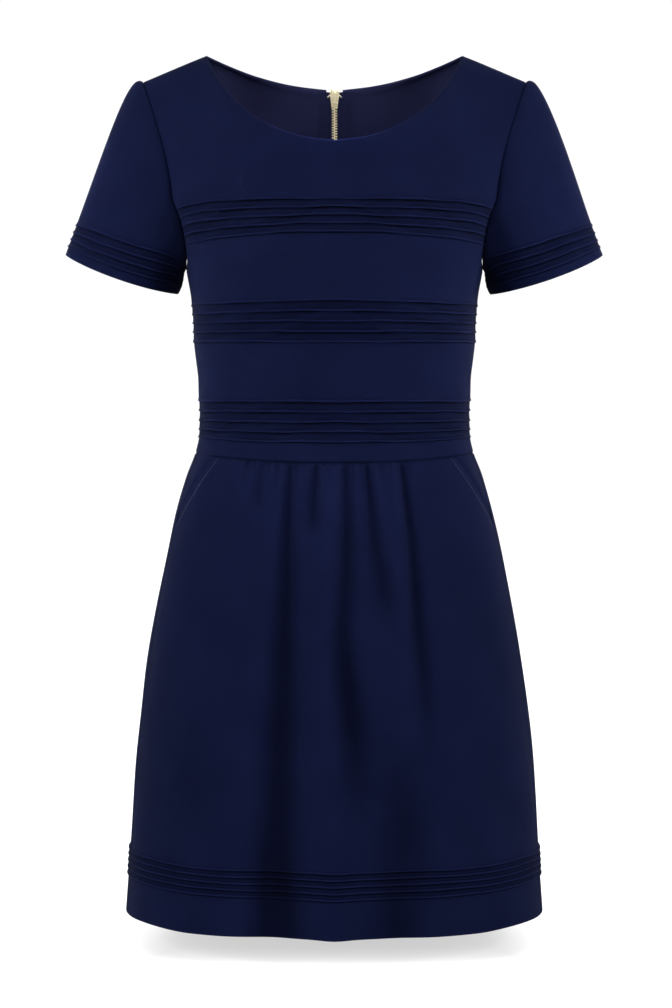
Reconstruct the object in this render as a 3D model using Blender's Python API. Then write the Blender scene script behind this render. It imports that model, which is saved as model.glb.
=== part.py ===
# A-line dress, filled out and hollow: a bodice with three bands of horizontal tucks, short set-in
# sleeves with a band of tucks, a skirt gathered at the front waist with slanted hip pockets and a
# tucked band above its hem, and a metal zip with a pull tab down the centre back.
# Metres, +Z up, front towards -Y. The origin lies midway between the two high shoulder points,
# where the wearer's shoulders carry the dress. "left" is the wearer's left, at +X.

import math

import bmesh
import bpy
from mathutils import Matrix, Vector

# ---- driving dimensions -------------------------------------------------------------------------

WALL = 0.0015              # thickness of the knit cloth
SEAM_GAP = 0.0003          # space left between two pieces that are sewn edge to edge
ROUNDNESS = 2.25           # exponent of the body's cross sections: 2 is an ellipse

NECK_HALF = 0.1305         # centre line to the high shoulder point
SHOULDER_TIP = Vector((0.1947, 0.0, -0.0276))
SHOULDER_BACK = 0.005      # how far behind the centre the high shoulder point lies
UNDERARM_LEVEL = -0.2117
YOKE_LEVEL = -0.145        # from here up the bodice runs over the shoulder
WAIST_LEVEL = -0.411
HEM_LEVEL = -0.8785

ARMHOLE_FRONT = -0.052     # foremost and rearmost points of the armhole
ARMHOLE_BACK = 0.050

TUCK_LIFT = 0.0021         # how far a tuck's fold stands out
TUCK_STEP = 0.0011         # height over which it falls back to the cloth below

ZIP_BOTTOM = -0.585        # lower end of the chain, below the waist
ZIP_HALF_OPENING = 0.0085  # centre line to the edge of the back panels beside the zip
CHAIN_HALF = 0.0030
CHAIN_THICK = 0.0026
TAPE_WIDTH = 0.0132
TAPE_THICK = 0.0010
TAPE_DEPTH = WALL + 0.0008     # outer face of the tape below the cloth's outer face

POCKET_TOP_DEG = 55.0      # where the pocket's mouth meets the waist seam, from the centre front
POCKET_END = -0.482        # level at which the mouth meets the side seam
POCKET_UNDERLAP = 0.055    # radians that the hip piece reaches under the front panel
POCKET_DROP = WALL + 0.0014

# ---- tables of sections -------------------------------------------------------------------------

# drop: how far the side of a section lies below its centre; seam_deg: angle of the side seam
BODY = [dict(zip(("level", "half_width", "front", "back", "drop", "seam_deg"), row)) for row in (
    (-0.145, 0.1780, 0.1100, 0.1040, 0.0040, 84.0),
    (-0.165, 0.1660, 0.1160, 0.1050, 0.0060, 84.0),
    (-0.186, 0.1575, 0.1200, 0.1040, 0.0090, 84.0),
    (-0.212, 0.1509, 0.1215, 0.1010, 0.0070, 84.0),
    (-0.250, 0.1455, 0.1170, 0.0970, 0.0035, 81.0),
    (-0.290, 0.1432, 0.1080, 0.0935, 0.0000, 79.0),
    (-0.330, 0.1396, 0.1010, 0.0910, 0.0000, 78.0),
    (-0.375, 0.1376, 0.0975, 0.0915, 0.0000, 78.0),
    (-0.411, 0.1420, 0.1000, 0.0965, -0.0075, 78.0),
    (-0.433, 0.1509, 0.1070, 0.1050, -0.0060, 78.0),
    (-0.474, 0.1635, 0.1175, 0.1165, -0.0030, 78.0),
    (-0.515, 0.1735, 0.1250, 0.1245, 0.0000, 78.0),
    (-0.596, 0.1885, 0.1355, 0.1350, 0.0000, 78.5),
    (-0.678, 0.1995, 0.1435, 0.1425, 0.0000, 79.0),
    (-0.760, 0.2068, 0.1490, 0.1480, -0.0015, 79.0),
    (-0.842, 0.2115, 0.1535, 0.1520, -0.0010, 79.0),
    (-0.8785, 0.2140, 0.1560, 0.1540, 0.0000, 79.0),
)]

FRONT_NECK = [dict(zip(("level", "height", "depth"), row)) for row in (
    (0.0000, -0.0926, -0.0920),
    (0.0330, -0.0880, -0.0895),
    (0.0600, -0.0784, -0.0820),
    (0.0870, -0.0615, -0.0680),
    (0.1055, -0.0424, -0.0500),
    (0.1210, -0.0196, -0.0240),
    (0.1305, 0.0000, 0.0050),
)]

BACK_NECK = [dict(zip(("level", "height", "depth"), row)) for row in (
    (0.0000, -0.0293, 0.0720),
    (0.0440, -0.0241, 0.0680),
    (0.0815, -0.0158, 0.0560),
    (0.1095, -0.0070, 0.0360),
    (0.1305, 0.0000, 0.0050),
)]

# Bands of tucks: level of the first fold at the centre, distance between folds, number of folds
BANDS = [dict(zip(("first", "pitch", "count"), row)) for row in (
    (-0.1510, 0.00825, 5),
    (-0.2510, 0.01010, 5),
    (-0.3506, 0.01010, 5),
    (-0.8130, 0.00650, 5),
)]
CHEST_BAND, RIB_BAND, WAIST_BAND, HEM_BAND = BANDS

# Folds that hang from the gathered waist: sideways place and level of both ends, half width, depth
FOLDS = [dict(zip(("x_top", "x_end", "top", "end", "spread", "depth"), row)) for row in (
    (-0.071, -0.080, -0.405, -0.480, 0.011, -0.0016),
    (-0.045, -0.078, -0.405, -0.800, 0.016, -0.0050),
    (-0.019, -0.023, -0.405, -0.500, 0.010, -0.0032),
    (0.011, 0.024, -0.405, -0.815, 0.014, -0.0050),
    (0.034, 0.062, -0.405, -0.600, 0.012, -0.0034),
    (0.067, 0.094, -0.405, -0.740, 0.016, -0.0044),
)]

SLEEVE = dict(
    centre=Vector((0.2168, 0.0, -0.2228)),
    tilt_deg=19.4,
    hang_deg=24.0,
    half_width=0.0607,
    half_depth=0.0460,
    front_dip=0.0060,
    first_tuck=0.0337,
    tuck_pitch=0.0078,
    tuck_count=4,
    pull=1.05,             # how straight the sleeve runs into its cuff
    underarm_room=1.12,    # underarm length the tucks need, in distances to the first tuck
)

# How the bodice leaves YOKE_LEVEL, as a slope inwards, and how it reaches the neckline
YOKE_LEAN = dict(front=0.30, back=0.10, side=0.04)
NECK_LEAN = 0.35
SHOULDER_EASE = 0.35       # share by which the pull over the shoulder is shortened


# ---- small helpers ------------------------------------------------------------------------------

def read(table, column, level):
    """Smooth value of one column of a table at a level between its rows."""
    rows = sorted(table, key=lambda row: row["level"])
    level = min(max(level, rows[0]["level"]), rows[-1]["level"])
    index = 0
    while index < len(rows) - 2 and level > rows[index + 1]["level"]:
        index += 1
    low, high = rows[index], rows[index + 1]
    span = high["level"] - low["level"]
    rise = (high[column] - low[column]) / span

    def slope(at):
        if at == 0 or at == len(rows) - 1:
            return rise
        before, after = rows[at - 1], rows[at + 1]
        return (after[column] - before[column]) / (after["level"] - before["level"])

    t = (level - low["level"]) / span
    return (low[column] * (2 * t**3 - 3 * t**2 + 1) + high[column] * (3 * t**2 - 2 * t**3)
            + span * slope(index) * (t**3 - 2 * t**2 + t)
            + span * slope(index + 1) * (t**3 - t**2))


def power(value, exponent):
    return math.copysign(abs(value) ** exponent, value)


def ease(value):
    value = min(max(value, 0.0), 1.0)
    return value * value * (3.0 - 2.0 * value)


def hermite(start, start_pull, end, end_pull, t):
    """Point on the curve that leaves start along start_pull and reaches end along end_pull."""
    return (start * (2 * t**3 - 3 * t**2 + 1) + start_pull * (t**3 - 2 * t**2 + t)
            + end * (3 * t**2 - 2 * t**3) + end_pull * (t**3 - t**2))


def normal_at(surface, across, along, lowest, highest):
    """Unit normal of surface(across, along) from small steps that stay between two limits."""
    step = 2e-4
    sideways = surface(across + step, along) - surface(across - step, along)
    upper = surface(across, min(along + step, highest))
    lower = surface(across, max(along - step, lowest))
    return sideways.cross(upper - lower).normalized()


# ---- the body's outside -------------------------------------------------------------------------

def section_point(angle, level):
    """Point of the outside at an angle from the centre front (0) to the centre back (pi)."""
    width = read(BODY, "half_width", level)
    depth = read(BODY, "front" if math.cos(angle) >= 0.0 else "back", level)
    side = power(math.sin(angle), 2.0 / ROUNDNESS)
    fore = power(math.cos(angle), 2.0 / ROUNDNESS)
    height = level - read(BODY, "drop", level) * math.sin(angle) ** 2
    return Vector((width * side, -depth * fore, height))


def angle_at_depth(depth, level):
    """Angle at which a section's outside has this distance behind the centre plane."""
    reach = read(BODY, "front" if depth < 0.0 else "back", level)
    ratio = min(abs(depth) / reach, 1.0) ** (ROUNDNESS / 2.0)
    return math.acos(-math.copysign(ratio, depth))


def angle_beside_centre(x, level):
    """Angle away from the centre plane at which a section's outside lies x to the side."""
    width = read(BODY, "half_width", level)
    return math.asin(power(x / width, ROUNDNESS / 2.0))


def seam_angle(level):
    return math.radians(read(BODY, "seam_deg", level))


def edge_angle(level, face):
    """Angle of the side seam, or of the armhole's edge above the underarm."""
    if level <= UNDERARM_LEVEL:
        return seam_angle(level)
    lowest = section_point(seam_angle(UNDERARM_LEVEL), UNDERARM_LEVEL).y
    farthest = ARMHOLE_FRONT if face == "front" else ARMHOLE_BACK
    rise = (level - UNDERARM_LEVEL) / (YOKE_LEVEL - UNDERARM_LEVEL)
    reach = math.sqrt(max(0.0, 1.0 - (1.0 - min(rise, 1.0)) ** 2))
    return angle_at_depth(lowest + (farthest - lowest) * reach, level)


def shell_point(across, level, face, start_x):
    """Point of the lower bodice or the skirt: across is 0 at start_x and 1 at the side."""
    edge = edge_angle(level, face)
    inset = angle_beside_centre(start_x, level)
    if face == "front":
        return section_point(inset + (edge - inset) * across, level)
    start = math.pi - inset
    return section_point(start + (edge - start) * across, level)


def top_point(across, face, neck_share, start_x):
    """Point of the neckline, then of the shoulder seam, for a column of the bodice."""
    if across <= neck_share:
        x = start_x + (NECK_HALF - start_x) * across / neck_share
        neck = FRONT_NECK if face == "front" else BACK_NECK
        return Vector((x, read(neck, "depth", abs(x)), read(neck, "height", abs(x))))
    share = (across - neck_share) / (1.0 - neck_share)
    high = Vector((NECK_HALF, SHOULDER_BACK, 0.0))
    return high.lerp(SHOULDER_TIP, share)


def bodice_point(across, height, face, neck_share, start_x):
    """Point of the bodice: height is a level, or above YOKE_LEVEL the share 0 to 1 of the yoke."""
    if height <= YOKE_LEVEL:
        return shell_point(across, height, face, start_x)
    share = (height - YOKE_LEVEL) / (1.0 - YOKE_LEVEL)
    low = shell_point(across, YOKE_LEVEL, face, start_x)
    top = top_point(across, face, neck_share, start_x)
    back = 1.0 if face == "front" else -1.0
    chord = (top - low).length
    lean = YOKE_LEAN[face] * (1.0 - across) + YOKE_LEAN["side"] * across
    start_pull = Vector((YOKE_LEAN["side"] * across, back * lean, 1.0)).normalized() * chord
    over = ease(across / neck_share)
    rising = Vector((0.0, back * NECK_LEAN, 1.0)) * (1.0 - over)
    end_pull = (rising + Vector((0.0, back, 0.0)) * over).normalized() * chord
    return hermite(low, start_pull, top, end_pull * (1.0 - SHOULDER_EASE * over), share)


def fold_depth(x, level):
    """Depth of the gathers and hanging folds of the front skirt at a place."""
    total = 0.0
    for fold in FOLDS:
        share = (level - fold["top"]) / (fold["end"] - fold["top"])
        if 0.0 <= share <= 1.0:
            centre = fold["x_top"] + (fold["x_end"] - fold["x_top"]) * share
            spread = fold["spread"] * (0.75 + 0.65 * share)
            fade = ease(share * 12.0) * 0.4 + 0.6
            fade *= ease((1.0 - share) * 1.8)
            total += fold["depth"] * fade * math.exp(-((x - centre) / spread) ** 2)
    return total


# ---- walls --------------------------------------------------------------------------------------

def make_object(name, mesh, material):
    mesh.materials.append(material)
    item = bpy.data.objects.new(name, mesh)
    bpy.context.scene.collection.objects.link(item)
    return item


def closed_mesh(name, bm, place=None):
    """Mesh of a closed solid with its faces turned outwards, moved to its place."""
    if place is not None:
        bm.transform(place)
    bmesh.ops.recalc_face_normals(bm, faces=list(bm.faces))
    if bm.calc_volume(signed=True) < 0.0:
        bmesh.ops.reverse_faces(bm, faces=list(bm.faces))
    mesh = bpy.data.meshes.new(name)
    bm.to_mesh(mesh)
    bm.free()
    return mesh


def wall(name, columns, rows, faces_at, material):
    """Closed wall over a grid: faces_at(column, row) gives its inner and its outer point."""
    bm = bmesh.new()
    bmesh.ops.create_grid(bm, x_segments=columns, y_segments=rows, size=1.0)
    inner = set(bm.verts)
    bmesh.ops.extrude_face_region(bm, geom=list(bm.faces), use_keep_orig=True)
    for vert in bm.verts:
        column = round((vert.co.x + 1.0) / 2.0 * columns)
        row = round((vert.co.y + 1.0) / 2.0 * rows)
        vert.co = faces_at(column, row)[0 if vert in inner else 1]
    mesh = closed_mesh(name, bm)
    mesh.shade_smooth()
    mesh.set_sharp_from_angle(angle=math.radians(40.0))
    return make_object(name, mesh, material)


def mirrored(point, side):
    return Vector((point.x * side, point.y, point.z))


def band_rows(bands, top, bottom, between):
    """Levels with the tucks' lift at each: two rows a tuck, and plain rows between the bands."""
    rows = [(top, 0.0)] + [(level, 0.0) for level in between] + [(bottom, 0.0)]
    for band in bands:
        for index in range(band["count"]):
            fold = band["first"] - band["pitch"] * index
            rows.append((fold, TUCK_LIFT))
            rows.append((fold - TUCK_STEP, 0.0))
    return sorted(rows, reverse=True)


# ---- materials ----------------------------------------------------------------------------------

def finish(name, colour, roughness, metallic):
    material = bpy.data.materials.new(name)
    material.use_nodes = True
    shader = material.node_tree.nodes["Principled BSDF"]
    shader.inputs["Base Color"].default_value = (*colour, 1.0)
    shader.inputs["Roughness"].default_value = roughness
    shader.inputs["Metallic"].default_value = metallic
    material.diffuse_color = (*colour, 1.0)
    return material


NAVY = (0.007, 0.011, 0.040)
TAPE_NAVY = (0.004, 0.005, 0.016)
GOLD = (0.62, 0.45, 0.20)


def knit(name):
    return finish("knit_" + name, NAVY, 0.85, 0.0)


def brass(name):
    return finish("brass_" + name, GOLD, 0.32, 1.0)


# ---- bodice -------------------------------------------------------------------------------------

FRONT_COLUMNS = 7          # from the centre to one side
FRONT_NECK_COLUMNS = 5     # of them under the neckline
BACK_STRIP = 0.08          # share of the back's first, narrow column beside the zip
BACK_COLUMNS = (0.0, BACK_STRIP, 0.30, 0.49, 0.68, 0.84, 1.0)
BACK_NECK_SHARE = 0.68
YOKE_SHARES = (0.30, 0.60, 0.83, 1.0)

BODICE_ROWS = [(YOKE_LEVEL + share * (1.0 - YOKE_LEVEL), 0.0) for share in reversed(YOKE_SHARES)]
BODICE_ROWS += band_rows((CHEST_BAND, RIB_BAND, WAIST_BAND), YOKE_LEVEL,
                         WAIST_LEVEL + SEAM_GAP / 2.0,
                         (UNDERARM_LEVEL, -0.232, -0.312, -0.331))


def bodice_faces(across, height, lift, face, neck_share, start_x):
    """Inner and outer point of the bodice's wall, drawn in by half a gap at its seams."""
    def surface(share, at):
        return bodice_point(share, at, face, neck_share, start_x)

    outside = normal_at(surface, across, height, WAIST_LEVEL, 1.0)
    if outside.dot(surface(across, height) - Vector((0.0, 0.0, -0.15))) < 0.0:
        outside = -outside
    point = surface(across, height)
    if height > 0.999 and across >= neck_share:
        point.y += -SEAM_GAP / 2.0 if face == "front" else SEAM_GAP / 2.0
    if height <= UNDERARM_LEVEL and across > 0.999:
        away = surface(across - 0.02, height) - point
        point += away.normalized() * SEAM_GAP / 2.0
    if height > UNDERARM_LEVEL:
        lift *= 1.0 - 0.8 * across**6
    return point - outside * WALL, point + outside * lift


def make_bodice_front():
    neck_share = FRONT_NECK_COLUMNS / FRONT_COLUMNS

    def faces_at(column, row):
        across = column / FRONT_COLUMNS - 1.0
        height, lift = BODICE_ROWS[row]
        pair = bodice_faces(abs(across), height, lift, "front", neck_share, 0.0)
        return [mirrored(point, math.copysign(1.0, across)) for point in pair]

    wall("bodice_front", 2 * FRONT_COLUMNS, len(BODICE_ROWS) - 1, faces_at, knit("bodice_front"))


def make_bodice_back(name, side):
    def faces_at(column, row):
        height, lift = BODICE_ROWS[row]
        pair = bodice_faces(BACK_COLUMNS[column], height, lift, "back", BACK_NECK_SHARE,
                            ZIP_HALF_OPENING)
        return [mirrored(point, side) for point in pair]

    wall(name, len(BACK_COLUMNS) - 1, len(BODICE_ROWS) - 1, faces_at, knit(name))


# ---- sleeves ------------------------------------------------------------------------------------

ARMHOLE_RISES = (0.08, 0.30, 0.62, 1.0)
CAP_SHARES = (0.0, 0.10, 0.24, 0.46, 0.72)


def armhole_side(face):
    """Edge of the armhole from the underarm up to the shoulder tip, one point a sleeve column."""
    neck_share = FRONT_NECK_COLUMNS / FRONT_COLUMNS if face == "front" else BACK_NECK_SHARE
    start_x = 0.0 if face == "front" else ZIP_HALF_OPENING
    heights = [UNDERARM_LEVEL]
    heights += [UNDERARM_LEVEL + (YOKE_LEVEL - UNDERARM_LEVEL) * rise for rise in ARMHOLE_RISES]
    heights += [YOKE_LEVEL + share * (1.0 - YOKE_LEVEL) for share in YOKE_SHARES]
    return [bodice_point(1.0, height, face, neck_share, start_x) for height in heights]


def sleeve_stations():
    """Points round the armhole, from the underarm up the front and down the back, with the turn
    (0 to 1) of each, shared out by distance so that the shoulder tip is at one half."""
    stations = []
    for face, start, end in (("front", 0.0, 0.5), ("back", 1.0, 0.5)):
        points = armhole_side(face)
        lengths = [0.0]
        for before, after in zip(points, points[1:]):
            lengths.append(lengths[-1] + (after - before).length)
        run = [(point, start + (end - start) * length / lengths[-1])
               for point, length in zip(points, lengths)]
        stations += run if face == "front" else run[-2::-1]
    return stations


def station_at(stations, turn):
    """Point of the armhole's edge at a turn between its stations."""
    turn = min(max(turn, 0.0), 1.0)
    index = 0
    while index < len(stations) - 2 and turn > stations[index + 1][1]:
        index += 1
    low, high = stations[index], stations[index + 1]
    return low[0].lerp(high[0], (turn - low[1]) / (high[1] - low[1]))


def sleeve_point(stations, turn, share):
    """Point of the sleeve's outside: share runs from 0 at the armhole to 1 at the cuff's edge."""
    around = 2.0 * math.pi * turn
    tilt = math.radians(SLEEVE["tilt_deg"])
    axis = Vector((math.sin(tilt), 0.0, -math.cos(tilt)))
    outward = Vector((math.cos(tilt), 0.0, math.sin(tilt)))
    dip = SLEEVE["front_dip"] * max(math.sin(around), 0.0) ** 1.5
    cuff = SLEEVE["centre"] - outward * SLEEVE["half_width"] * math.cos(around) + axis * dip
    cuff.y -= SLEEVE["half_depth"] * math.sin(around)
    crown = 0.5 - 0.5 * math.cos(around)
    rise = 0.045 * max(2.0 * crown - 1.0, 0.0)
    start_pull = Vector((0.020 + 0.018 * crown, -0.022 * math.sin(around), rise - 0.004))
    start = station_at(stations, turn) + start_pull.normalized() * SEAM_GAP
    length = (cuff - start).length
    hang = math.radians(SLEEVE["hang_deg"])
    end_pull = Vector((math.sin(hang), 0.0, -math.cos(hang))) * length * SLEEVE["pull"]
    return hermite(start, start_pull, cuff, end_pull, share)


def sleeve_rows():
    """Shares of the sleeve's length at the top, and distances from the cuff with their lift."""
    rows = [("cap", share, 0.0) for share in CAP_SHARES]
    for index in range(SLEEVE["tuck_count"]):
        distance = SLEEVE["first_tuck"] - SLEEVE["tuck_pitch"] * index
        rows.append(("cuff", distance, TUCK_LIFT))
        rows.append(("cuff", distance - TUCK_STEP, 0.0))
    rows.append(("cuff", 0.0, 0.0))
    return rows


def make_sleeve(name, side):
    stations = sleeve_stations()
    rows = sleeve_rows()
    lengths = []
    for point, turn in stations:
        lengths.append((sleeve_point(stations, turn, 1.0) - point).length)

    def surface(turn, share):
        return sleeve_point(stations, turn, share)

    def faces_at(column, row):
        turn = stations[column][1]
        first, last = column == 0, column == len(stations) - 1
        kind, value, lift = rows[row]
        squeeze = min(1.0, lengths[column] / (SLEEVE["first_tuck"] * SLEEVE["underarm_room"]))
        cuff_share = SLEEVE["first_tuck"] * squeeze / (lengths[column] * SLEEVE["pull"])
        if kind == "cap":
            share = value * (1.0 - cuff_share)
        else:
            share = 1.0 - value * squeeze / (lengths[column] * SLEEVE["pull"])
        near = min(max(turn, 0.002), 0.998)
        outside = normal_at(surface, near, share, 0.0, 1.0)
        middle = SLEEVE["centre"].lerp(SHOULDER_TIP, 0.6 * (1.0 - share))
        point = surface(turn, share)
        if outside.dot(point - middle) < 0.0:
            outside = -outside
        if first or last:
            point.y += -SEAM_GAP / 2.0 if first else SEAM_GAP / 2.0
        pair = (point - outside * WALL, point + outside * lift)
        return [mirrored(item, side) for item in pair]

    wall(name, len(stations) - 1, len(rows) - 1, faces_at, knit(name))


# ---- skirt --------------------------------------------------------------------------------------

SKIRT_SHARES = (0.0, 0.09, 0.18, 0.27, 0.36, 0.45, 0.55, 0.66, 0.78, 0.89, 1.0)
SKIRT_TOP = WAIST_LEVEL - SEAM_GAP
FRONT_SKIRT_ROWS = band_rows((HEM_BAND,), SKIRT_TOP, HEM_LEVEL,
                             (-0.433, -0.458, POCKET_END, -0.545, -0.625, -0.715, -0.806))
ZIP_CLOSE = ZIP_BOTTOM - 0.014
BACK_SKIRT_ROWS = band_rows((HEM_BAND,), SKIRT_TOP, HEM_LEVEL,
                            (-0.440, -0.482, -0.533, ZIP_BOTTOM, ZIP_CLOSE, -0.670, -0.735, -0.806))


def mouth_angle(level):
    """Angle of the front panel's edge: the pocket's slanted mouth, then the side seam."""
    if level <= POCKET_END:
        return seam_angle(level)
    share = (WAIST_LEVEL - level) / (WAIST_LEVEL - POCKET_END)
    top = math.radians(POCKET_TOP_DEG)
    return top + (seam_angle(POCKET_END) - top) * share**0.92


def folded_point(angle, level):
    """Point of the front skirt with its gathers and folds pressed in towards the body."""
    flat = section_point(abs(angle), level)
    flat.x = math.copysign(flat.x, angle)
    inward = Vector((-flat.x * 0.5, -flat.y, 0.0)).normalized()
    return flat - inward * fold_depth(flat.x, level)


def make_skirt_front():
    count = len(SKIRT_SHARES) - 1

    def faces_at(column, row):
        level, lift = FRONT_SKIRT_ROWS[row]
        share = SKIRT_SHARES[abs(column - count)]
        side = 1.0 if column >= count else -1.0
        gap = SEAM_GAP / 2.0 / read(BODY, "half_width", level) if share == 1.0 else 0.0
        angle = side * (mouth_angle(level) * share - gap)
        outside = normal_at(folded_point, angle, level, HEM_LEVEL, WAIST_LEVEL)
        point = folded_point(angle, level)
        if outside.dot(Vector((point.x, point.y, 0.0))) < 0.0:
            outside = -outside
        return point - outside * WALL, point + outside * lift

    wall("skirt_front", 2 * count, len(FRONT_SKIRT_ROWS) - 1, faces_at, knit("skirt_front"))


def back_start(level):
    """Distance of the back panel's inner edge from the centre: wide beside the zip only."""
    return ZIP_HALF_OPENING if level >= ZIP_BOTTOM else SEAM_GAP / 2.0


def make_skirt_back(name, side):
    def surface(across, level):
        return shell_point(across, level, "back", ZIP_HALF_OPENING)

    def faces_at(column, row):
        level, lift = BACK_SKIRT_ROWS[row]
        across = BACK_COLUMNS[column]
        outside = normal_at(surface, across, level, HEM_LEVEL, WAIST_LEVEL)
        point = shell_point(across, level, "back", back_start(level))
        if column == len(BACK_COLUMNS) - 1:
            away = surface(across - 0.02, level) - point
            point += away.normalized() * SEAM_GAP / 2.0
        if outside.dot(Vector((point.x, point.y, 0.0))) < 0.0:
            outside = -outside
        if column == 0 and level < ZIP_BOTTOM:
            outside = Vector((0.0, outside.y, outside.z)).normalized()
        return [mirrored(item, side) for item in (point - outside * WALL, point + outside * lift)]

    wall(name, len(BACK_COLUMNS) - 1, len(BACK_SKIRT_ROWS) - 1, faces_at, knit(name))


HIP_COLUMNS = (0.0, 0.22, 0.5, 0.75, 1.0)
HIP_ROWS = (SKIRT_TOP, -0.433, -0.458, POCKET_END)
HIP_START = 0.01           # radians beyond the mouth where the hip piece starts to rise
HIP_BLEND = 0.10           # radians over which it then rises to the side seam


def make_hip_piece(name, side):
    """Cloth behind a pocket's mouth: it reaches under the front panel and fills the corner."""
    def faces_at(column, row):
        level = HIP_ROWS[row]
        mouth = mouth_angle(level)
        first = mouth - POCKET_UNDERLAP
        last = seam_angle(level) - SEAM_GAP / 2.0 / read(BODY, "half_width", level)
        angle = first + (last - first) * HIP_COLUMNS[column]
        outside = normal_at(section_point, angle, level, HEM_LEVEL, WAIST_LEVEL)
        if outside.x < 0.0:
            outside = -outside
        sink = POCKET_DROP * (1.0 - ease((angle - mouth - HIP_START) / HIP_BLEND))
        point = section_point(angle, level) - outside * sink
        return [mirrored(item, side) for item in (point - outside * WALL, point)]

    wall(name, len(HIP_COLUMNS) - 1, len(HIP_ROWS) - 1, faces_at, knit(name))


# ---- zip ----------------------------------------------------------------------------------------

ZIP_LEVELS = (-0.165, -0.186, UNDERARM_LEVEL, -0.232, -0.251, -0.271, -0.291, -0.312, -0.331,
              -0.351, -0.371, -0.391, WAIST_LEVEL, -0.440, -0.482, -0.533, ZIP_BOTTOM)
CHAIN_DEPTH = TAPE_DEPTH + TAPE_THICK / 2.0


def centre_back(x, height):
    """Point of the back's outside at a distance from the centre line."""
    return bodice_point(0.0, height, "back", BACK_NECK_SHARE, x)


def zip_frame(x, height):
    """The same point with the outward normal there, straight back between the teeth."""
    outside = normal_at(centre_back, x, height, HEM_LEVEL, 1.0)
    if outside.y < 0.0:
        outside = -outside
    if x < CHAIN_HALF:
        outside = Vector((0.0, outside.y, outside.z)).normalized()
    return centre_back(x, height), outside


def zip_heights(top_share):
    shares = [top_share] + [share for share in YOKE_SHARES[::-1] if share < top_share] + [0.0]
    return [YOKE_LEVEL + share * (1.0 - YOKE_LEVEL) for share in shares] + list(ZIP_LEVELS)


def make_zip_strip(name, side, sides, depths, top_share, material):
    """Strip that follows the centre back between two distances from it and two depths."""
    heights = zip_heights(top_share)

    def faces_at(column, row):
        point, outside = zip_frame(sides[column], heights[row])
        pair = (point - outside * depths[1], point - outside * depths[0])
        return [mirrored(item, side) for item in pair]

    wall(name, len(sides) - 1, len(heights) - 1, faces_at, material)


def zip_place(share, depth):
    """Matrix at the centre back: X sideways, Y up along the chain, Z out of the back."""
    point, outside = zip_frame(0.0, YOKE_LEVEL + share * (1.0 - YOKE_LEVEL))
    sideways = Vector((-1.0, 0.0, 0.0))
    up = outside.cross(sideways)
    turn = Matrix((sideways, up, outside)).transposed().to_4x4()
    return Matrix.Translation(point - outside * depth) @ turn


def block_mesh(name, low, high, place, taper=1.0, bevel=0.0):
    """Block in the zip's own frame, narrowed at its lower end by taper."""
    bm = bmesh.new()
    verts = bmesh.ops.create_cube(bm, size=1.0)["verts"]
    bmesh.ops.scale(bm, vec=[b - a for a, b in zip(low, high)], verts=verts)
    bmesh.ops.translate(bm, vec=[(a + b) / 2.0 for a, b in zip(low, high)], verts=verts)
    for vert in verts:
        if vert.co.y < (low[1] + high[1]) / 2.0:
            vert.co.x *= taper
    if bevel > 0.0:
        bmesh.ops.bevel(bm, geom=list(bm.edges), offset=bevel, segments=1, profile=0.5,
                        affect="EDGES", material=-1)
    return closed_mesh(name, bm, place)


def outline_mesh(name, outline, sweep, place):
    """Flat outline swept by a vector, in the zip's own frame."""
    bm = bmesh.new()
    face = bm.faces.new([bm.verts.new(point) for point in outline])
    made = bmesh.ops.extrude_face_region(bm, geom=[face], use_keep_orig=True)
    swept = [item for item in made["geom"] if isinstance(item, bmesh.types.BMVert)]
    bmesh.ops.translate(bm, vec=sweep, verts=swept)
    return closed_mesh(name, bm, place)


def unite(body, meshes):
    """Boolean union of further meshes into one object's solid."""
    for index, mesh in enumerate(meshes):
        tool = bpy.data.objects.new(f"{body.name}_piece_{index}", mesh)
        bpy.context.scene.collection.objects.link(tool)
        tool.hide_render = True
        tool.display_type = "WIRE"
        union = body.modifiers.new(f"union_{index}", "BOOLEAN")
        union.operation = "UNION"
        union.solver = "EXACT"
        union.object = tool


SLIDER_SHARE = 0.905       # where the slider stands on the yoke: closed, at the back neck
TEETH_TOP_SHARE = 0.925    # where the two rows of teeth end inside it
TAPE_TOP_SHARE = 0.985     # where the tapes end, just under the neckline
PLATE_LOW = CHAIN_THICK / 2.0 + SEAM_GAP
PLATE_THICK = 0.0010
PLATE_HIGH = PLATE_LOW + PLATE_THICK
SLIDER_HALF = 0.0045
SLIDER_LENGTH = 0.0190
SLIDER_TAPER = 0.72
POST_HALF = 0.0013
POST_LENGTH = 0.0037
POST_INSET = 0.0015
PRONG_INNER = 0.0019
PRONG_RISE = 0.0022
PRONG_SUNK = 0.0008
PRONG_INSET = 0.0002
BAIL_SUNK = 0.0004
BAIL_HALF = 0.0008
BAIL_INNER = 0.0024        # clear height under the bail
BAIL_BAR = 0.0009
BAIL_TOP = 0.0046          # ends of the bail along the chain
BAIL_END = -0.0036
PIN_HEIGHT = PLATE_HIGH + 0.0011
PIN_ALONG = 0.0005
TAB_RAIL_IN = 0.0012
TAB_HALF = 0.0024
TAB_THICK = 0.0010
TAB_PLATE_START = 0.0054
TAB_LENGTH = 0.0260


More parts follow.
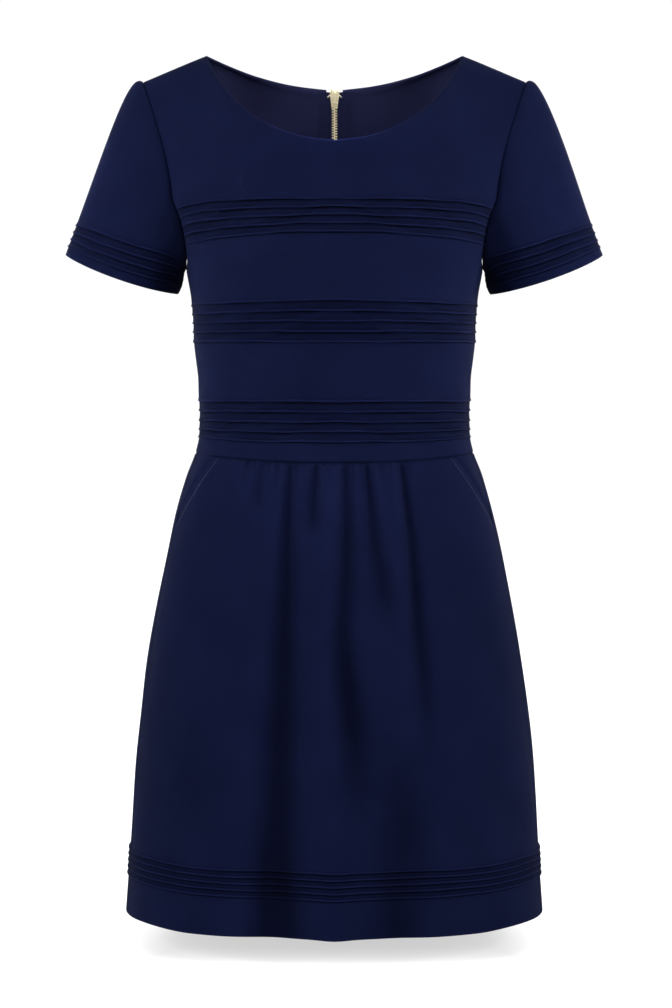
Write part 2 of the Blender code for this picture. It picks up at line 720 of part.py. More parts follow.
def make_slider():
    """Two tapered plates joined by a post, a bail over the outer one and two flared prongs."""
    place = zip_place(SLIDER_SHARE, CHAIN_DEPTH)
    half = SLIDER_LENGTH / 2.0
    inside = PLATE_LOW + PLATE_THICK / 2.0
    plates = [block_mesh("plate", (-SLIDER_HALF, -half, near), (SLIDER_HALF, half, far), place,
                         SLIDER_TAPER, 0.0003)
              for near, far in ((PLATE_LOW, PLATE_HIGH), (-PLATE_HIGH, -PLATE_LOW))]
    post = block_mesh("post", (-POST_HALF, half - POST_LENGTH - POST_INSET, -inside),
                      (POST_HALF, half - POST_INSET, inside), place)
    foot, under = PLATE_HIGH - BAIL_SUNK, PLATE_HIGH + BAIL_INNER
    arch = [(BAIL_TOP, foot), (BAIL_TOP, under + BAIL_BAR), (BAIL_END, under + BAIL_BAR),
            (BAIL_END, foot), (BAIL_END + BAIL_BAR, foot), (BAIL_END + BAIL_BAR, under),
            (BAIL_TOP - BAIL_BAR, under), (BAIL_TOP - BAIL_BAR, foot)]
    bail = outline_mesh("bail", [(-BAIL_HALF, along, out) for along, out in arch],
                        (2.0 * BAIL_HALF, 0.0, 0.0), place)
    prongs = []
    for sign in (-1.0, 1.0):
        near, far = sorted((sign * PRONG_INNER, sign * (SLIDER_HALF - PRONG_INSET)))
        prongs.append(block_mesh("prong", (near, half - PRONG_SUNK, PRONG_INSET - PLATE_HIGH),
                                 (far, half + PRONG_RISE, -PLATE_LOW - PRONG_INSET), place))
    body = make_object("zip_slider", plates[0], brass("zip_slider"))
    unite(body, [post, plates[1], bail, *prongs])


def make_pull_tab():
    """Flat tab with an eye, whose top bar is the pin that turns under the slider's bail."""
    place = zip_place(SLIDER_SHARE, CHAIN_DEPTH)
    flat = TAB_THICK / 2.0
    across = (-TAB_HALF, -TAB_RAIL_IN, TAB_RAIL_IN, TAB_HALF)
    along = (-TAB_LENGTH, -TAB_PLATE_START, -flat, flat)
    bm = bmesh.new()
    bmesh.ops.create_grid(bm, x_segments=3, y_segments=3, size=1.0)
    eye = [face for face in bm.faces if face.calc_center_median().length < 0.1]
    for vert in bm.verts:
        column = round((vert.co.x + 1.0) * 1.5)
        row = round((vert.co.y + 1.0) * 1.5)
        vert.co = (across[column], PIN_ALONG + along[row], PIN_HEIGHT - flat)
    bmesh.ops.delete(bm, geom=eye, context="FACES")
    made = bmesh.ops.extrude_face_region(bm, geom=list(bm.faces), use_keep_orig=True)
    raised = [item for item in made["geom"] if isinstance(item, bmesh.types.BMVert)]
    bmesh.ops.translate(bm, vec=(0.0, 0.0, TAB_THICK), verts=raised)
    pivot = place @ Vector((0.0, PIN_ALONG, PIN_HEIGHT))
    mesh = closed_mesh("zip_pull_tab", bm, Matrix.Translation(-pivot) @ place)
    make_object("zip_pull_tab", mesh, brass("zip_pull_tab")).location = pivot


def make_zip():
    tape_sides = (CHAIN_HALF + SEAM_GAP, ZIP_HALF_OPENING + 0.001, CHAIN_HALF + TAPE_WIDTH)
    for name, side in (("left", 1.0), ("right", -1.0)):
        make_zip_strip(f"zip_tape_{name}", side, tape_sides,
                       (TAPE_DEPTH, TAPE_DEPTH + TAPE_THICK), TAPE_TOP_SHARE,
                       finish(f"tape_{name}", TAPE_NAVY, 0.9, 0.0))
        make_zip_strip(f"zip_teeth_{name}", side, (SEAM_GAP / 2.0, CHAIN_HALF),
                       (CHAIN_DEPTH - CHAIN_THICK / 2.0, CHAIN_DEPTH + CHAIN_THICK / 2.0),
                       TEETH_TOP_SHARE, brass(f"zip_teeth_{name}"))
    make_slider()
    make_pull_tab()


def main():
    for item in list(bpy.data.objects):
        bpy.data.objects.remove(item, do_unlink=True)
    make_bodice_front()
    make_skirt_front()
    for name, side in (("left", 1.0), ("right", -1.0)):
        make_bodice_back(f"bodice_back_{name}", side)
        make_sleeve(f"sleeve_{name}", side)
        make_skirt_back(f"skirt_back_{name}", side)
        make_hip_piece(f"hip_piece_{name}", side)
    make_zip()


main()
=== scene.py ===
import math

import bmesh
import bpy
import numpy as np
from mathutils import Matrix, Vector


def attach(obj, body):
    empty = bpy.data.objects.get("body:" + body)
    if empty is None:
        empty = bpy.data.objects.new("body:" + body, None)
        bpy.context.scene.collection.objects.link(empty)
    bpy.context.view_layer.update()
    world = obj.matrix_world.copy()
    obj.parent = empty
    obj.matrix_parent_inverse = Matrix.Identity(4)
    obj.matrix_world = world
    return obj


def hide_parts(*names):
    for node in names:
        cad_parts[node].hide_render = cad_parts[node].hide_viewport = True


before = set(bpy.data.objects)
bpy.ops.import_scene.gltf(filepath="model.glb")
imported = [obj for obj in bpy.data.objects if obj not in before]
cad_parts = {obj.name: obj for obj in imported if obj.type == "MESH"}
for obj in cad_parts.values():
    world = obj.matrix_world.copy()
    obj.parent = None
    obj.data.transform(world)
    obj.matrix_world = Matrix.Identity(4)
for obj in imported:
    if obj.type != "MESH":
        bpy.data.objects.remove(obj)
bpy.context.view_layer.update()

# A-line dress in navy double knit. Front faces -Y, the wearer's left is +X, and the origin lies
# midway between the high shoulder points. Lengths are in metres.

studio = bpy.context.scene
print("frame loaded:", len(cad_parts), "nodes")


# Shader nodes

def fill(tree, node, inputs):
    # Each input takes a value, or the socket that feeds it
    for name, value in inputs.items():
        if isinstance(value, bpy.types.NodeSocket):
            tree.links.new(value, node.inputs[name])
        else:
            node.inputs[name].default_value = value


def addNode(tree, kind, inputs=None, **settings):
    node = tree.nodes.new(f"ShaderNode{kind}")
    for name, value in settings.items():
        setattr(node, name, value)
    fill(tree, node, inputs or {})
    return node


def addMath(tree, operation, *values):
    # A value may itself be an operation with its values
    values = [addMath(tree, *value) if isinstance(value, tuple) else value for value in values]
    return addNode(tree, "Math", dict(enumerate(values)), operation=operation).outputs[0]


def addNoise(tree, vector, scale, detail, roughness):
    return addNode(tree, "TexNoise", {"Vector": vector, "Scale": scale, "Detail": detail,
                                      "Roughness": roughness}).outputs["Fac"]


def addRamp(tree, value, look, start, end):
    ramp = addNode(tree, "ValToRGB", {"Fac": value})
    low, high = ramp.color_ramp.elements
    low.position, low.color = start, (*look["dark"], 1.0)
    high.position, high.color = end, (*look["light"], 1.0)
    return ramp.outputs["Color"]


def bumped(tree, height, distance):
    return addNode(tree, "Bump", {"Strength": 1.0, "Distance": distance,
                                  "Height": height}).outputs["Normal"]


def objectPlace(tree):
    return addNode(tree, "TexCoord").outputs["Object"]


def clothPlace(tree):
    # Place on the laid out cloth, as X and Y
    spot = addNode(tree, "UVMap", uv_map="cloth").outputs["UV"]
    return addNode(tree, "SeparateXYZ", {"Vector": spot}).outputs


def newMaterial(name):
    material = bpy.data.materials.new(name)
    material.use_nodes = True
    tree = material.node_tree
    return material, tree, tree.nodes["Principled BSDF"]


def newObject(name, bm, material):
    mesh = bpy.data.meshes.new(name)
    bm.to_mesh(mesh)
    bm.free()
    mesh.materials.append(material)
    item = bpy.data.objects.new(name, mesh)
    studio.collection.objects.link(item)
    return item


# Stage

stageLook = dict(
    cameraPlace=(0.0015, -3.0, -0.315),
    cameraPitch=2.71,      # degrees down
    lens=104.7,
    seenStrength=1.02,     # the white backdrop as the camera sees it
    lightStrength=0.46,    # and as it lights the dress
    floorLevel=-0.905,
    floorSize=12.0,
    floorColour=(0.30, 0.30, 0.30),
    # Painted glow of the floor, which also paints its soft shadow under the dress
    paintedFloorGlow=(0.58, 1.02),    # under the dress and away from it
    paintedGlowReach=((0.15, 0.26), (0.03, 0.27)),    # sideways and in depth: where the glow changes
)

# Area lights: name, place, target, width and height, power, degrees of spread
pairedLamps = (
    ("side", (2.5, -1.7, 0.3), (0.0, 0.0, -0.45), (1.0, 2.0), 133.0, 180.0),
    ("high", (2.1, -0.35, 0.95), (0.31, 0.0, -0.14), (0.3, 0.3), 0.8, 14.0),
    ("back", (1.6, 2.5, 0.6), (0.0, 0.0, -0.45), (1.2, 2.0), 34.0, 180.0),
)
singleLamps = (
    ("topBox", (0.0, -1.2, 2.0), (0.0, 0.0, -0.45), (2.2, 1.4), 15.0, 180.0),
    ("neckBox", (0.0, -2.0, 0.62), (0.0, 0.07, -0.04), (0.1, 0.1), 0.11, 7.5),
)


def addCamera(look):
    data = bpy.data.cameras.new("camera")
    data.lens, data.sensor_width, data.clip_end = look["lens"], 36.0, 50.0
    studio.camera = bpy.data.objects.new("camera", data)
    studio.camera.location = look["cameraPlace"]
    studio.camera.rotation_euler = (math.radians(90.0 - look["cameraPitch"]), 0.0, 0.0)
    studio.collection.objects.link(studio.camera)


def addLamp(name, place, target, size, power, spread, side=1.0):
    data = bpy.data.lights.new(name, "AREA")
    data.shape, data.energy, data.spread = "RECTANGLE", power, math.radians(spread)
    data.size, data.size_y = size
    mirror = Vector((side, 1.0, 1.0))
    lamp = bpy.data.objects.new(name, data)
    lamp.location = Vector(place) * mirror
    beam = (Vector(target) - Vector(place)) * mirror
    lamp.rotation_euler = beam.to_track_quat("-Z", "Y").to_euler()
    studio.collection.objects.link(lamp)


def addBackdrop(look):
    world = bpy.data.worlds.new("studio")
    studio.world = world
    studio.view_settings.view_transform = "Standard"
    world.use_nodes = True
    tree = world.node_tree
    seen = addNode(tree, "LightPath").outputs["Is Camera Ray"]
    level = addNode(tree, "MapRange", {"Value": seen, "To Min": look["lightStrength"],
                                       "To Max": look["seenStrength"]})
    fill(tree, tree.nodes["Background"], {"Color": (1.0, 1.0, 1.0, 1.0),
                                          "Strength": level.outputs["Result"]})


def addFloor(look):
    # Paper with painted light and shadow: it glows less under the dress, which paints a soft shadow
    # there, and more away from it, so that it runs into the backdrop
    paper, tree, shader = newMaterial("paperWithPaintedGlow")
    place = addNode(tree, "SeparateXYZ", {"Vector": objectPlace(tree)}).outputs
    away = [addNode(tree, "MapRange", {"Value": addMath(tree, "ABSOLUTE", place[axis]),
                                       "From Min": near, "From Max": far},
                    interpolation_type="SMOOTHSTEP").outputs["Result"]
            for axis, (near, far) in zip("XY", look["paintedGlowReach"])]
    under, beyond = look["paintedFloorGlow"]
    paintedGlow = addNode(tree, "MapRange", {"Value": addMath(tree, "MAXIMUM", *away), "To Min": under,
                                      "To Max": beyond})
    fill(tree, shader, {"Base Color": (*look["floorColour"], 1.0), "Roughness": 0.95,
                        "Specular IOR Level": 0.0, "Emission Color": (1.0, 1.0, 1.0, 1.0),
                        "Emission Strength": paintedGlow.outputs["Result"]})
    bm = bmesh.new()
    bmesh.ops.create_grid(bm, x_segments=1, y_segments=1, size=look["floorSize"])
    bmesh.ops.translate(bm, vec=(0.0, 0.0, look["floorLevel"]), verts=list(bm.verts))
    newObject("floor", bm, paper)


addCamera(stageLook)
addBackdrop(stageLook)
for hand, side in (("Left", -1.0), ("Right", 1.0)):
    for name, *settings in pairedLamps:
        addLamp(f"{name}{hand}", *settings, side)
for settings in singleLamps:
    addLamp(*settings)
addFloor(stageLook)
print("stage set")


# Materials

knitLook = dict(
    dark=(0.00112, 0.00176, 0.0091),
    light=(0.0029, 0.0044, 0.0188),
    wale=0.00092,          # width of one column of loops
    course=0.00078,        # height of one row of loops
    roughness=0.78,
    relief=0.00016,
    sheen=dict(weight=0.02, roughness=0.42, tint=(0.36, 0.46, 0.90)),
)

# The reverse of the knit inside the back, paler and less blue: partly its own colour, partly
# painted light standing in for light that reaches the inside back
reverseWithPaintedLightLook = dict(
    knitLook,
    dark=(0.0046, 0.0052, 0.0180),
    light=(0.0116, 0.0128, 0.0385),
)


def makeKnit(name, look):
    # Columns of small V shaped loops laid over the cloth's own flat measure
    material, tree, shader = newMaterial(name)
    flat, place = clothPlace(tree), objectPlace(tree)
    column = ("FRACT", ("DIVIDE", flat["X"], look["wale"]))
    fromMiddle = addMath(tree, "ABSOLUTE", ("SUBTRACT", column, 0.5))
    slanted = ("ADD", ("DIVIDE", flat["Y"], look["course"]), ("MULTIPLY", fromMiddle, 1.5))
    row = ("MULTIPLY_ADD", ("SINE", ("MULTIPLY", slanted, 2.0 * math.pi)), 0.5, 0.5)
    crown = ("POWER", ("SINE", ("MULTIPLY", fromMiddle, 2.0 * math.pi)), 0.6)
    loops = addMath(tree, "MULTIPLY", crown, ("MULTIPLY_ADD", row, 0.65, 0.35))
    fuzz = addNoise(tree, place, 2600.0, 2.0, 0.6)
    cloudy = addNoise(tree, place, 22.0, 3.0, 0.55)
    yarn = addNoise(tree, place, 900.0, 2.0, 0.5)
    toneAndPaintedShading = addMath(tree, "MULTIPLY_ADD", cloudy, 0.35,
                   ("MULTIPLY_ADD", yarn, 0.45, ("MULTIPLY", loops, 0.35)))
    # The colour is scaled by the painted light and shade stored on the mesh
    shaded = addNode(tree, "VectorMath", {
        0: addRamp(tree, toneAndPaintedShading, look, 0.25, 0.80),
        "Scale": addNode(tree, "Attribute", attribute_name="shade").outputs["Fac"],
    }, operation="SCALE")
    sheen = look["sheen"]
    fill(tree, shader, {
        "Base Color": shaded.outputs[0],
        "Roughness": addMath(tree, "MULTIPLY_ADD", yarn, 0.16, look["roughness"] - 0.08),
        "Specular IOR Level": 0.008,
        "Sheen Weight": sheen["weight"],
        "Sheen Roughness": sheen["roughness"],
        "Sheen Tint": (*sheen["tint"], 1.0),
        "Normal": bumped(tree, addMath(tree, "MULTIPLY_ADD", fuzz, 0.45, loops), look["relief"]),
    })
    return material


tapeLook = dict(
    dark=(0.0026, 0.0030, 0.0120),
    light=(0.0070, 0.0082, 0.0290),
    thread=0.00055,
    stripe=0.0026,         # width of one herringbone stripe
    roughness=0.72,
    relief=0.00012,
)


def makeTapeWeave(look):
    # Herringbone: slanted threads that turn back at each stripe
    material, tree, shader = newMaterial("zipTape")
    flat = clothPlace(tree)
    zigzag = ("PINGPONG", flat["X"], look["stripe"])
    slant = ("DIVIDE", ("ADD", flat["Y"], zigzag), look["thread"])
    thread = ("MULTIPLY_ADD", ("SINE", ("MULTIPLY", slant, 2.0 * math.pi)), 0.5, 0.5)
    fuzz = addNoise(tree, objectPlace(tree), 3000.0, 2.0, 0.6)
    height = addMath(tree, "MULTIPLY_ADD", fuzz, 0.4, thread)
    fill(tree, shader, {
        "Base Color": addRamp(tree, height, look, 0.15, 1.0),
        "Roughness": look["roughness"],
        "Specular IOR Level": 0.03,
        "Sheen Weight": 0.02,
        "Sheen Tint": (0.5, 0.6, 0.9, 1.0),
        "Normal": bumped(tree, height, look["relief"]),
    })
    return material


goldLook = dict(
    dark=(0.66, 0.55, 0.30),
    light=(0.92, 0.84, 0.60),
    roughness=0.28,
    metal=0.70,
)


def makeGold(look):
    # Light gold plating with fine rub marks
    material, tree, shader = newMaterial("lightGold")
    place = objectPlace(tree)
    stretched = addNode(tree, "Mapping", {"Vector": place, "Scale": (1.0, 1.0, 0.15)})
    rubs = addNoise(tree, stretched.outputs["Vector"], 4200.0, 3.0, 0.6)
    stains = addNoise(tree, place, 420.0, 2.0, 0.5)
    fill(tree, shader, {
        "Base Color": addRamp(tree, stains, look, 0.30, 0.62),
        "Metallic": look["metal"],
        "Roughness": addMath(tree, "MULTIPLY_ADD", rubs, 0.22, look["roughness"] - 0.08),
        "Normal": bumped(tree, rubs, 0.00001),
    })
    return material


threadLook = dict(
    dark=(0.0060, 0.0080, 0.0280),
    light=(0.0160, 0.0210, 0.0640),
    roughness=0.55,
    twist=900.0,
)


def makeThread(look):
    material, tree, shader = newMaterial("sewingThread")
    twist = addNode(tree, "TexWave", {"Vector": objectPlace(tree), "Scale": look["twist"]},
                    bands_direction="DIAGONAL").outputs["Fac"]
    fill(tree, shader, {"Base Color": addRamp(tree, twist, look, 0.1, 0.9),
                        "Roughness": look["roughness"], "Sheen Weight": 0.3,
                        "Normal": bumped(tree, twist, 0.00004)})
    return material


navyKnit = makeKnit("navyKnit", knitLook)
knitReverseWithPaintedLight = makeKnit("knitReverseWithPaintedLight", reverseWithPaintedLightLook)
zipTape = makeTapeWeave(tapeLook)
lightGold = makeGold(goldLook)
sewingThread = makeThread(threadLook)
print("materials made")


# The body's form, the same as the solids'

bodyForm = dict(
    wall=0.0015,
    seamGap=0.0003,
    roundness=2.25,
    neckHalf=0.1305,
    shoulderTip=(0.1947, 0.0, -0.0276),
    shoulderBack=0.005,
    underarm=-0.2117,
    yoke=-0.145,
    waist=-0.411,
    hem=-0.8785,
    armholeFront=-0.052,
    armholeBack=0.050,
    zipHalf=0.0085,
    zipEnd=-0.585,
)


def makeTable(columns, rows):
    rows = np.array(sorted(rows), float)
    return {name: rows[:, index] for index, name in enumerate(columns)}


sections = makeTable(("level", "halfWidth", "front", "back", "drop", "seamDeg"), (
    (-0.145, 0.1780, 0.1100, 0.1040, 0.0040, 84.0),
    (-0.165, 0.1660, 0.1160, 0.1050, 0.0060, 84.0),
    (-0.186, 0.1575, 0.1200, 0.1040, 0.0090, 84.0),
    (-0.212, 0.1509, 0.1215, 0.1010, 0.0070, 84.0),
    (-0.250, 0.1455, 0.1170, 0.0970, 0.0035, 81.0),
    (-0.290, 0.1432, 0.1080, 0.0935, 0.0000, 79.0),
    (-0.330, 0.1396, 0.1010, 0.0910, 0.0000, 78.0),
    (-0.375, 0.1376, 0.0975, 0.0915, 0.0000, 78.0),
    (-0.411, 0.1420, 0.1000, 0.0965, -0.0075, 78.0),
    (-0.433, 0.1509, 0.1070, 0.1050, -0.0060, 78.0),
    (-0.474, 0.1635, 0.1175, 0.1165, -0.0030, 78.0),
    (-0.515, 0.1735, 0.1250, 0.1245, 0.0000, 78.0),
    (-0.596, 0.1885, 0.1355, 0.1350, 0.0000, 78.5),
    (-0.678, 0.1995, 0.1435, 0.1425, 0.0000, 79.0),
    (-0.760, 0.2068, 0.1490, 0.1480, -0.0015, 79.0),
    (-0.842, 0.2115, 0.1535, 0.1520, -0.0010, 79.0),
    (-0.8785, 0.2140, 0.1560, 0.1540, 0.0000, 79.0),
))
frontNeck = makeTable(("level", "height", "depth"), (
    (0.0000, -0.0926, -0.0920),
    (0.0330, -0.0880, -0.0895),
    (0.0600, -0.0784, -0.0820),
    (0.0870, -0.0615, -0.0680),
    (0.1055, -0.0424, -0.0500),
    (0.1210, -0.0196, -0.0240),
    (0.1305, 0.0000, 0.0050),
))
backNeck = makeTable(("level", "height", "depth"), (
    (0.0000, -0.0293, 0.0720),
    (0.0440, -0.0241, 0.0680),
    (0.0815, -0.0158, 0.0560),
    (0.1095, -0.0070, 0.0360),
    (0.1305, 0.0000, 0.0050),
))


def read(table, column, at):
    # Smooth value of one column of a table at any levels
    levels, values = table["level"], table[column]
    at = np.clip(at, levels[0], levels[-1])
    index = np.clip(np.searchsorted(levels, at, side="left") - 1, 0, len(levels) - 2)
    slopes = np.empty_like(values)
    slopes[1:-1] = (values[2:] - values[:-2]) / (levels[2:] - levels[:-2])
    slopes[0] = (values[1] - values[0]) / (levels[1] - levels[0])
    slopes[-1] = (values[-1] - values[-2]) / (levels[-1] - levels[-2])
    span = levels[index + 1] - levels[index]
    t = (at - levels[index]) / span
    return (values[index] * (2 * t**3 - 3 * t**2 + 1) + values[index + 1] * (3 * t**2 - 2 * t**3)
            + span * slopes[index] * (t**3 - 2 * t**2 + t)
            + span * slopes[index + 1] * (t**3 - t**2))


def power(value, exponent):
    return np.sign(value) * np.abs(value) ** exponent


def ease(value):
    value = np.clip(value, 0.0, 1.0)
    return value * value * (3.0 - 2.0 * value)


def stack(x, y, z):
    return np.stack(np.broadcast_arrays(x, y, z), axis=-1)


def unit(vectors):
    return vectors / np.maximum(np.linalg.norm(vectors, axis=-1, keepdims=True), 1e-12)


def hermite(start, startPull, end, endPull, t):
    t = np.asarray(t)[..., None]
    return (start * (2 * t**3 - 3 * t**2 + 1) + startPull * (t**3 - 2 * t**2 + t)
            + end * (3 * t**2 - 2 * t**3) + endPull * (t**3 - t**2))


def normalsOf(surface, across, along, lowest, highest):
    step = 2e-4
    sideways = surface(across + step, along) - surface(across - step, along)
    upper = surface(across, np.minimum(along + step, highest))
    lower = surface(across, np.maximum(along - step, lowest))
    return unit(np.cross(sideways, upper - lower))


def facing(normals, directions):
    # One sign for the whole piece, so that no point turns over by itself
    return normals * (1.0 if np.sum(normals * directions) > 0.0 else -1.0)


def sectionPoint(angle, level):
    depth = np.where(np.cos(angle) >= 0.0, read(sections, "front", level),
                     read(sections, "back", level))
    side = power(np.sin(angle), 2.0 / bodyForm["roundness"])
    fore = power(np.cos(angle), 2.0 / bodyForm["roundness"])
    height = level - read(sections, "drop", level) * np.sin(angle) ** 2
    return stack(read(sections, "halfWidth", level) * side, -depth * fore, height)


def angleAtDepth(depth, level):
    reach = np.where(depth < 0.0, read(sections, "front", level), read(sections, "back", level))
    ratio = np.minimum(np.abs(depth) / reach, 1.0) ** (bodyForm["roundness"] / 2.0)
    return np.arccos(-np.sign(depth) * ratio)


def angleBeside(x, level):
    width = read(sections, "halfWidth", level)
    return np.arcsin(power(x / width, bodyForm["roundness"] / 2.0))


def seamAngle(level):
    return np.radians(read(sections, "seamDeg", level))


def edgeAngle(level, face):
    underarm = np.array(bodyForm["underarm"])
    lowest = sectionPoint(seamAngle(underarm), underarm)[1]
    farthest = bodyForm["armholeFront" if face == "front" else "armholeBack"]
    rise = np.clip((level - underarm) / (bodyForm["yoke"] - underarm), 0.0, 1.0)
    reach = np.sqrt(np.maximum(0.0, 1.0 - (1.0 - rise) ** 2))
    above = angleAtDepth(lowest + (farthest - lowest) * reach, level)
    return np.where(level <= underarm, seamAngle(level), above)


def shellPoint(across, level, face, startX):
    edge = edgeAngle(level, face)
    inset = angleBeside(startX, level)
    if face == "front":
        return sectionPoint(inset + (edge - inset) * across, level)
    return sectionPoint(math.pi - inset + (edge - math.pi + inset) * across, level)


def topPoint(across, face, neckShare, startX):
    neck = frontNeck if face == "front" else backNeck
    x = np.minimum(startX + (bodyForm["neckHalf"] - startX) * across / neckShare,
                   bodyForm["neckHalf"])
    line = stack(x, read(neck, "depth", np.abs(x)), read(neck, "height", np.abs(x)))
    share = np.maximum((across - neckShare) / (1.0 - neckShare), 0.0)[..., None]
    high = np.array((bodyForm["neckHalf"], bodyForm["shoulderBack"], 0.0))
    shoulder = high + (np.array(bodyForm["shoulderTip"]) - high) * share
    return np.where((across <= neckShare)[..., None], line, shoulder)


def bodicePoint(across, height, face, neckShare, startX):
    # height is a level, and above the yoke's foot the share of the yoke from there to 1
    across, height = np.broadcast_arrays(np.asarray(across, float), np.asarray(height, float))
    yoke = bodyForm["yoke"]
    body = shellPoint(across, np.minimum(height, yoke), face, startX)
    share = np.clip((height - yoke) / (1.0 - yoke), 0.0, 1.0)
    low = shellPoint(across, np.full(across.shape, yoke), face, startX)
    top = topPoint(across, face, neckShare, startX)
    # The top's kink at the shoulder point is evened out lower down
    steps = np.linspace(-0.13, 0.13, 9)
    weights = np.exp(-(steps / 0.08) ** 2)
    spread = sum(weight * topPoint(np.clip(across + step, 0.0, 1.0), face, neckShare, startX)
                 for step, weight in zip(steps, weights)) / weights.sum()
    nearKink = np.exp(-((across - neckShare) / 0.14) ** 2) * (1.0 - share**4)
    top = top + (spread - top) * nearKink[..., None]
    back = 1.0 if face == "front" else -1.0
    chord = np.linalg.norm(top - low, axis=-1, keepdims=True)
    lean = (0.30 if face == "front" else 0.10) * (1.0 - across) + 0.04 * across
    startPull = unit(stack(0.04 * across, back * lean, 1.0)) * chord
    over = ease(across / neckShare)[..., None]
    rising = np.array((0.0, back * 0.35, 1.0)) * (1.0 - over)
    endPull = unit(rising + np.array((0.0, back, 0.0)) * over) * chord * (1.0 - 0.35 * over)
    upper = hermite(low, startPull, top, endPull, share)
    return np.where((height <= yoke)[..., None], body, upper)


# Walls of cloth

def meshObject(name, bm, material, smooth=True):
    bmesh.ops.recalc_face_normals(bm, faces=list(bm.faces))
    if bm.calc_volume(signed=True) < 0.0:
        bmesh.ops.reverse_faces(bm, faces=list(bm.faces))
    item = newObject(name, bm, material)
    if smooth:
        item.data.shade_smooth()
    return item


def settle(item, node=None, body="dress"):
    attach(item, body)
    if node:
        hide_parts(node)
    return item


def pairOf(make, look, name, node):
    return [make(look, f"{name}{hand}", f"{node}_{hand.lower()}", side)
            for hand, side in (("Left", 1.0), ("Right", -1.0))]


def flipped(points, side):
    return points * np.array((side, 1.0, 1.0))


def moved(points, normals, distances, shift=0.0):
    return points + normals * distances[..., None] + shift


def bell(distance, width):
    return np.exp(-(distance / width) ** 2)


def runLength(points, axis):
    # Distance along a grid's lines, from its first row or column
    steps = np.linalg.norm(np.diff(points, axis=axis), axis=-1)
    start = np.zeros_like(np.take(steps, [0], axis=axis))
    return np.concatenate([start, np.cumsum(steps, axis=axis)], axis=axis)


def skin(surface, across, along, limits, outward):
    # Points of a surface and their normals on the side that outward(points) tells
    points = surface(across, along)
    return points, facing(normalsOf(surface, across, along, *limits), outward(points))


def gridSpot(place, rows, columns, whole=round):
    # Row and column of a place on a new grid
    return (whole((place.y + 1.0) / 2.0 * (rows - 1)), whole((place.x + 1.0) / 2.0 * (columns - 1)))


def makeWall(name, outer, inner, material, middle=0, shade=1.0, paintedLightReverse=None):
    # Two faces of a grid joined at its rim. outer and inner hold a point for each row and column,
    # and the shading array holds the painted light and shade that scales the outer face's colour
    # there; the inner face may take its own material, the paler reverse of the knit with painted
    # light in it
    rows, columns = outer.shape[:2]
    bm = bmesh.new()
    flat = bm.loops.layers.uv.new("cloth")
    paintedShadingLayer = bm.verts.layers.float.new("shade")
    bmesh.ops.create_grid(bm, x_segments=columns - 1, y_segments=rows - 1, size=1.0)
    made = bmesh.ops.extrude_face_region(bm, geom=list(bm.faces), use_keep_orig=True)
    raised = {item for item in made["geom"] if isinstance(item, bmesh.types.BMVert)}
    around = runLength(outer, 1)
    around -= around[:, middle:middle + 1]
    upward = runLength(outer, 0)
    shade = np.broadcast_to(shade, (rows, columns))
    spots = {vert: gridSpot(vert.co, rows, columns) for vert in bm.verts}
    for vert, spot in spots.items():
        # The outer face takes the painted light and shade, the inner face none
        vert[paintedShadingLayer] = shade[spot] if vert in raised else 1.0
        vert.co = (outer if vert in raised else inner)[spot]
    for face in bm.faces:
        # Inner faces take the paler reverse, partly its own colour and partly painted light
        face.material_index = 1 if paintedLightReverse and raised.isdisjoint(face.verts) else 0
        for loop in face.loops:
            loop[flat].uv = (around[spots[loop.vert]], upward[spots[loop.vert]])
    item = meshObject(name, bm, material)
    if paintedLightReverse:
        item.data.materials.append(paintedLightReverse)
    item.data.set_sharp_from_angle(angle=math.radians(75.0))
    return item


def makeCloth(name, node, faces, shade, side=1.0, middle=0, paintedLightReverse=None):
    outer, inner = (flipped(face, side) for face in faces)
    return settle(makeWall(name, outer, inner, navyKnit, middle, shade, paintedLightReverse), node)


def rimOffsets(distance, wall, bead=0.0):
    # Outer and inner offset near a free edge: the cloth rounds over, with a bead inside it
    radius = wall / 2.0
    inside = np.clip(distance / radius, 0.0, 1.0)
    rounded = radius * (1.0 - np.sqrt(np.maximum(1.0 - (1.0 - inside) ** 2, 0.0)))
    return -rounded, rounded - bead * ease((distance - radius) / 0.0008)


def turnedEdge(distance, bead, depth):
    # Inner offset where the cloth is turned under, to a depth from its edge
    return bead * (1.0 - ease((depth - distance) / 0.0006))


def paintedSeamShade(distance, amount=0.45):
    # Painted shade: cloth painted darker close along a seam
    return 1.0 - amount * bell(distance, 0.0012)


def seamDip(distance, depth=0.0008, width=0.0011):
    # How far cloth sinks where it turns into a seam
    return -depth * bell(distance, width)


sideDip = dict(depth=0.0009, width=0.0012)
waistDip = dict(depth=0.0010, width=0.0013)

# Distances from an edge at which the grids have lines
edgeLines = np.array((0.0, 0.00012, 0.0004, 0.00075, 0.0013, 0.0021, 0.0033, 0.0050))
fewLines = edgeLines[[0, 3, 5, 7]]


def edgedShares(count, length, start=True, lines=edgeLines):
    # Shares 0 to 1 of a length, close together at its end and, with start, at its start
    near = lines / length
    first = near if start else np.array((0.0,))
    middle = np.linspace(first[-1], 1.0 - near[-1], count + 1)[1:-1]
    return np.concatenate([first, middle, 1.0 - near[::-1]])


def ripple(x, level, seed, size, rate):
    # Small slow unevenness of hand made lines, the same each time
    total = 0.0
    for index, (share, speed) in enumerate(((0.5, 1.0), (0.3, 2.3), (0.2, 4.1))):
        phase = seed * 1.7 + index * 2.1
        total = total + share * np.sin(x * rate * speed + phase + level * (90.0 + 60.0 * index))
    return size * total


stitchLines = {"pocketStitches": [], "zipStitches": []}


def lineOn(points, distances, value, wanted):
    # The line on a grid's wanted rows at one distance from its edge
    line = []
    for row in np.flatnonzero(wanted):
        order = np.argsort(distances[row])
        reach = distances[row][order]
        line.append([np.interp(value, reach, points[row, order, k]) for k in range(3)])
    return np.array(line)


tuckLook = dict(
    lift=0.0018,
    waver=0.0007,          # how far a fold's line strays up and down
    lowWaver=0.0005,       # and on the sleeves and the hem
    unevenness=0.14,       # share by which its lift comes and goes
)
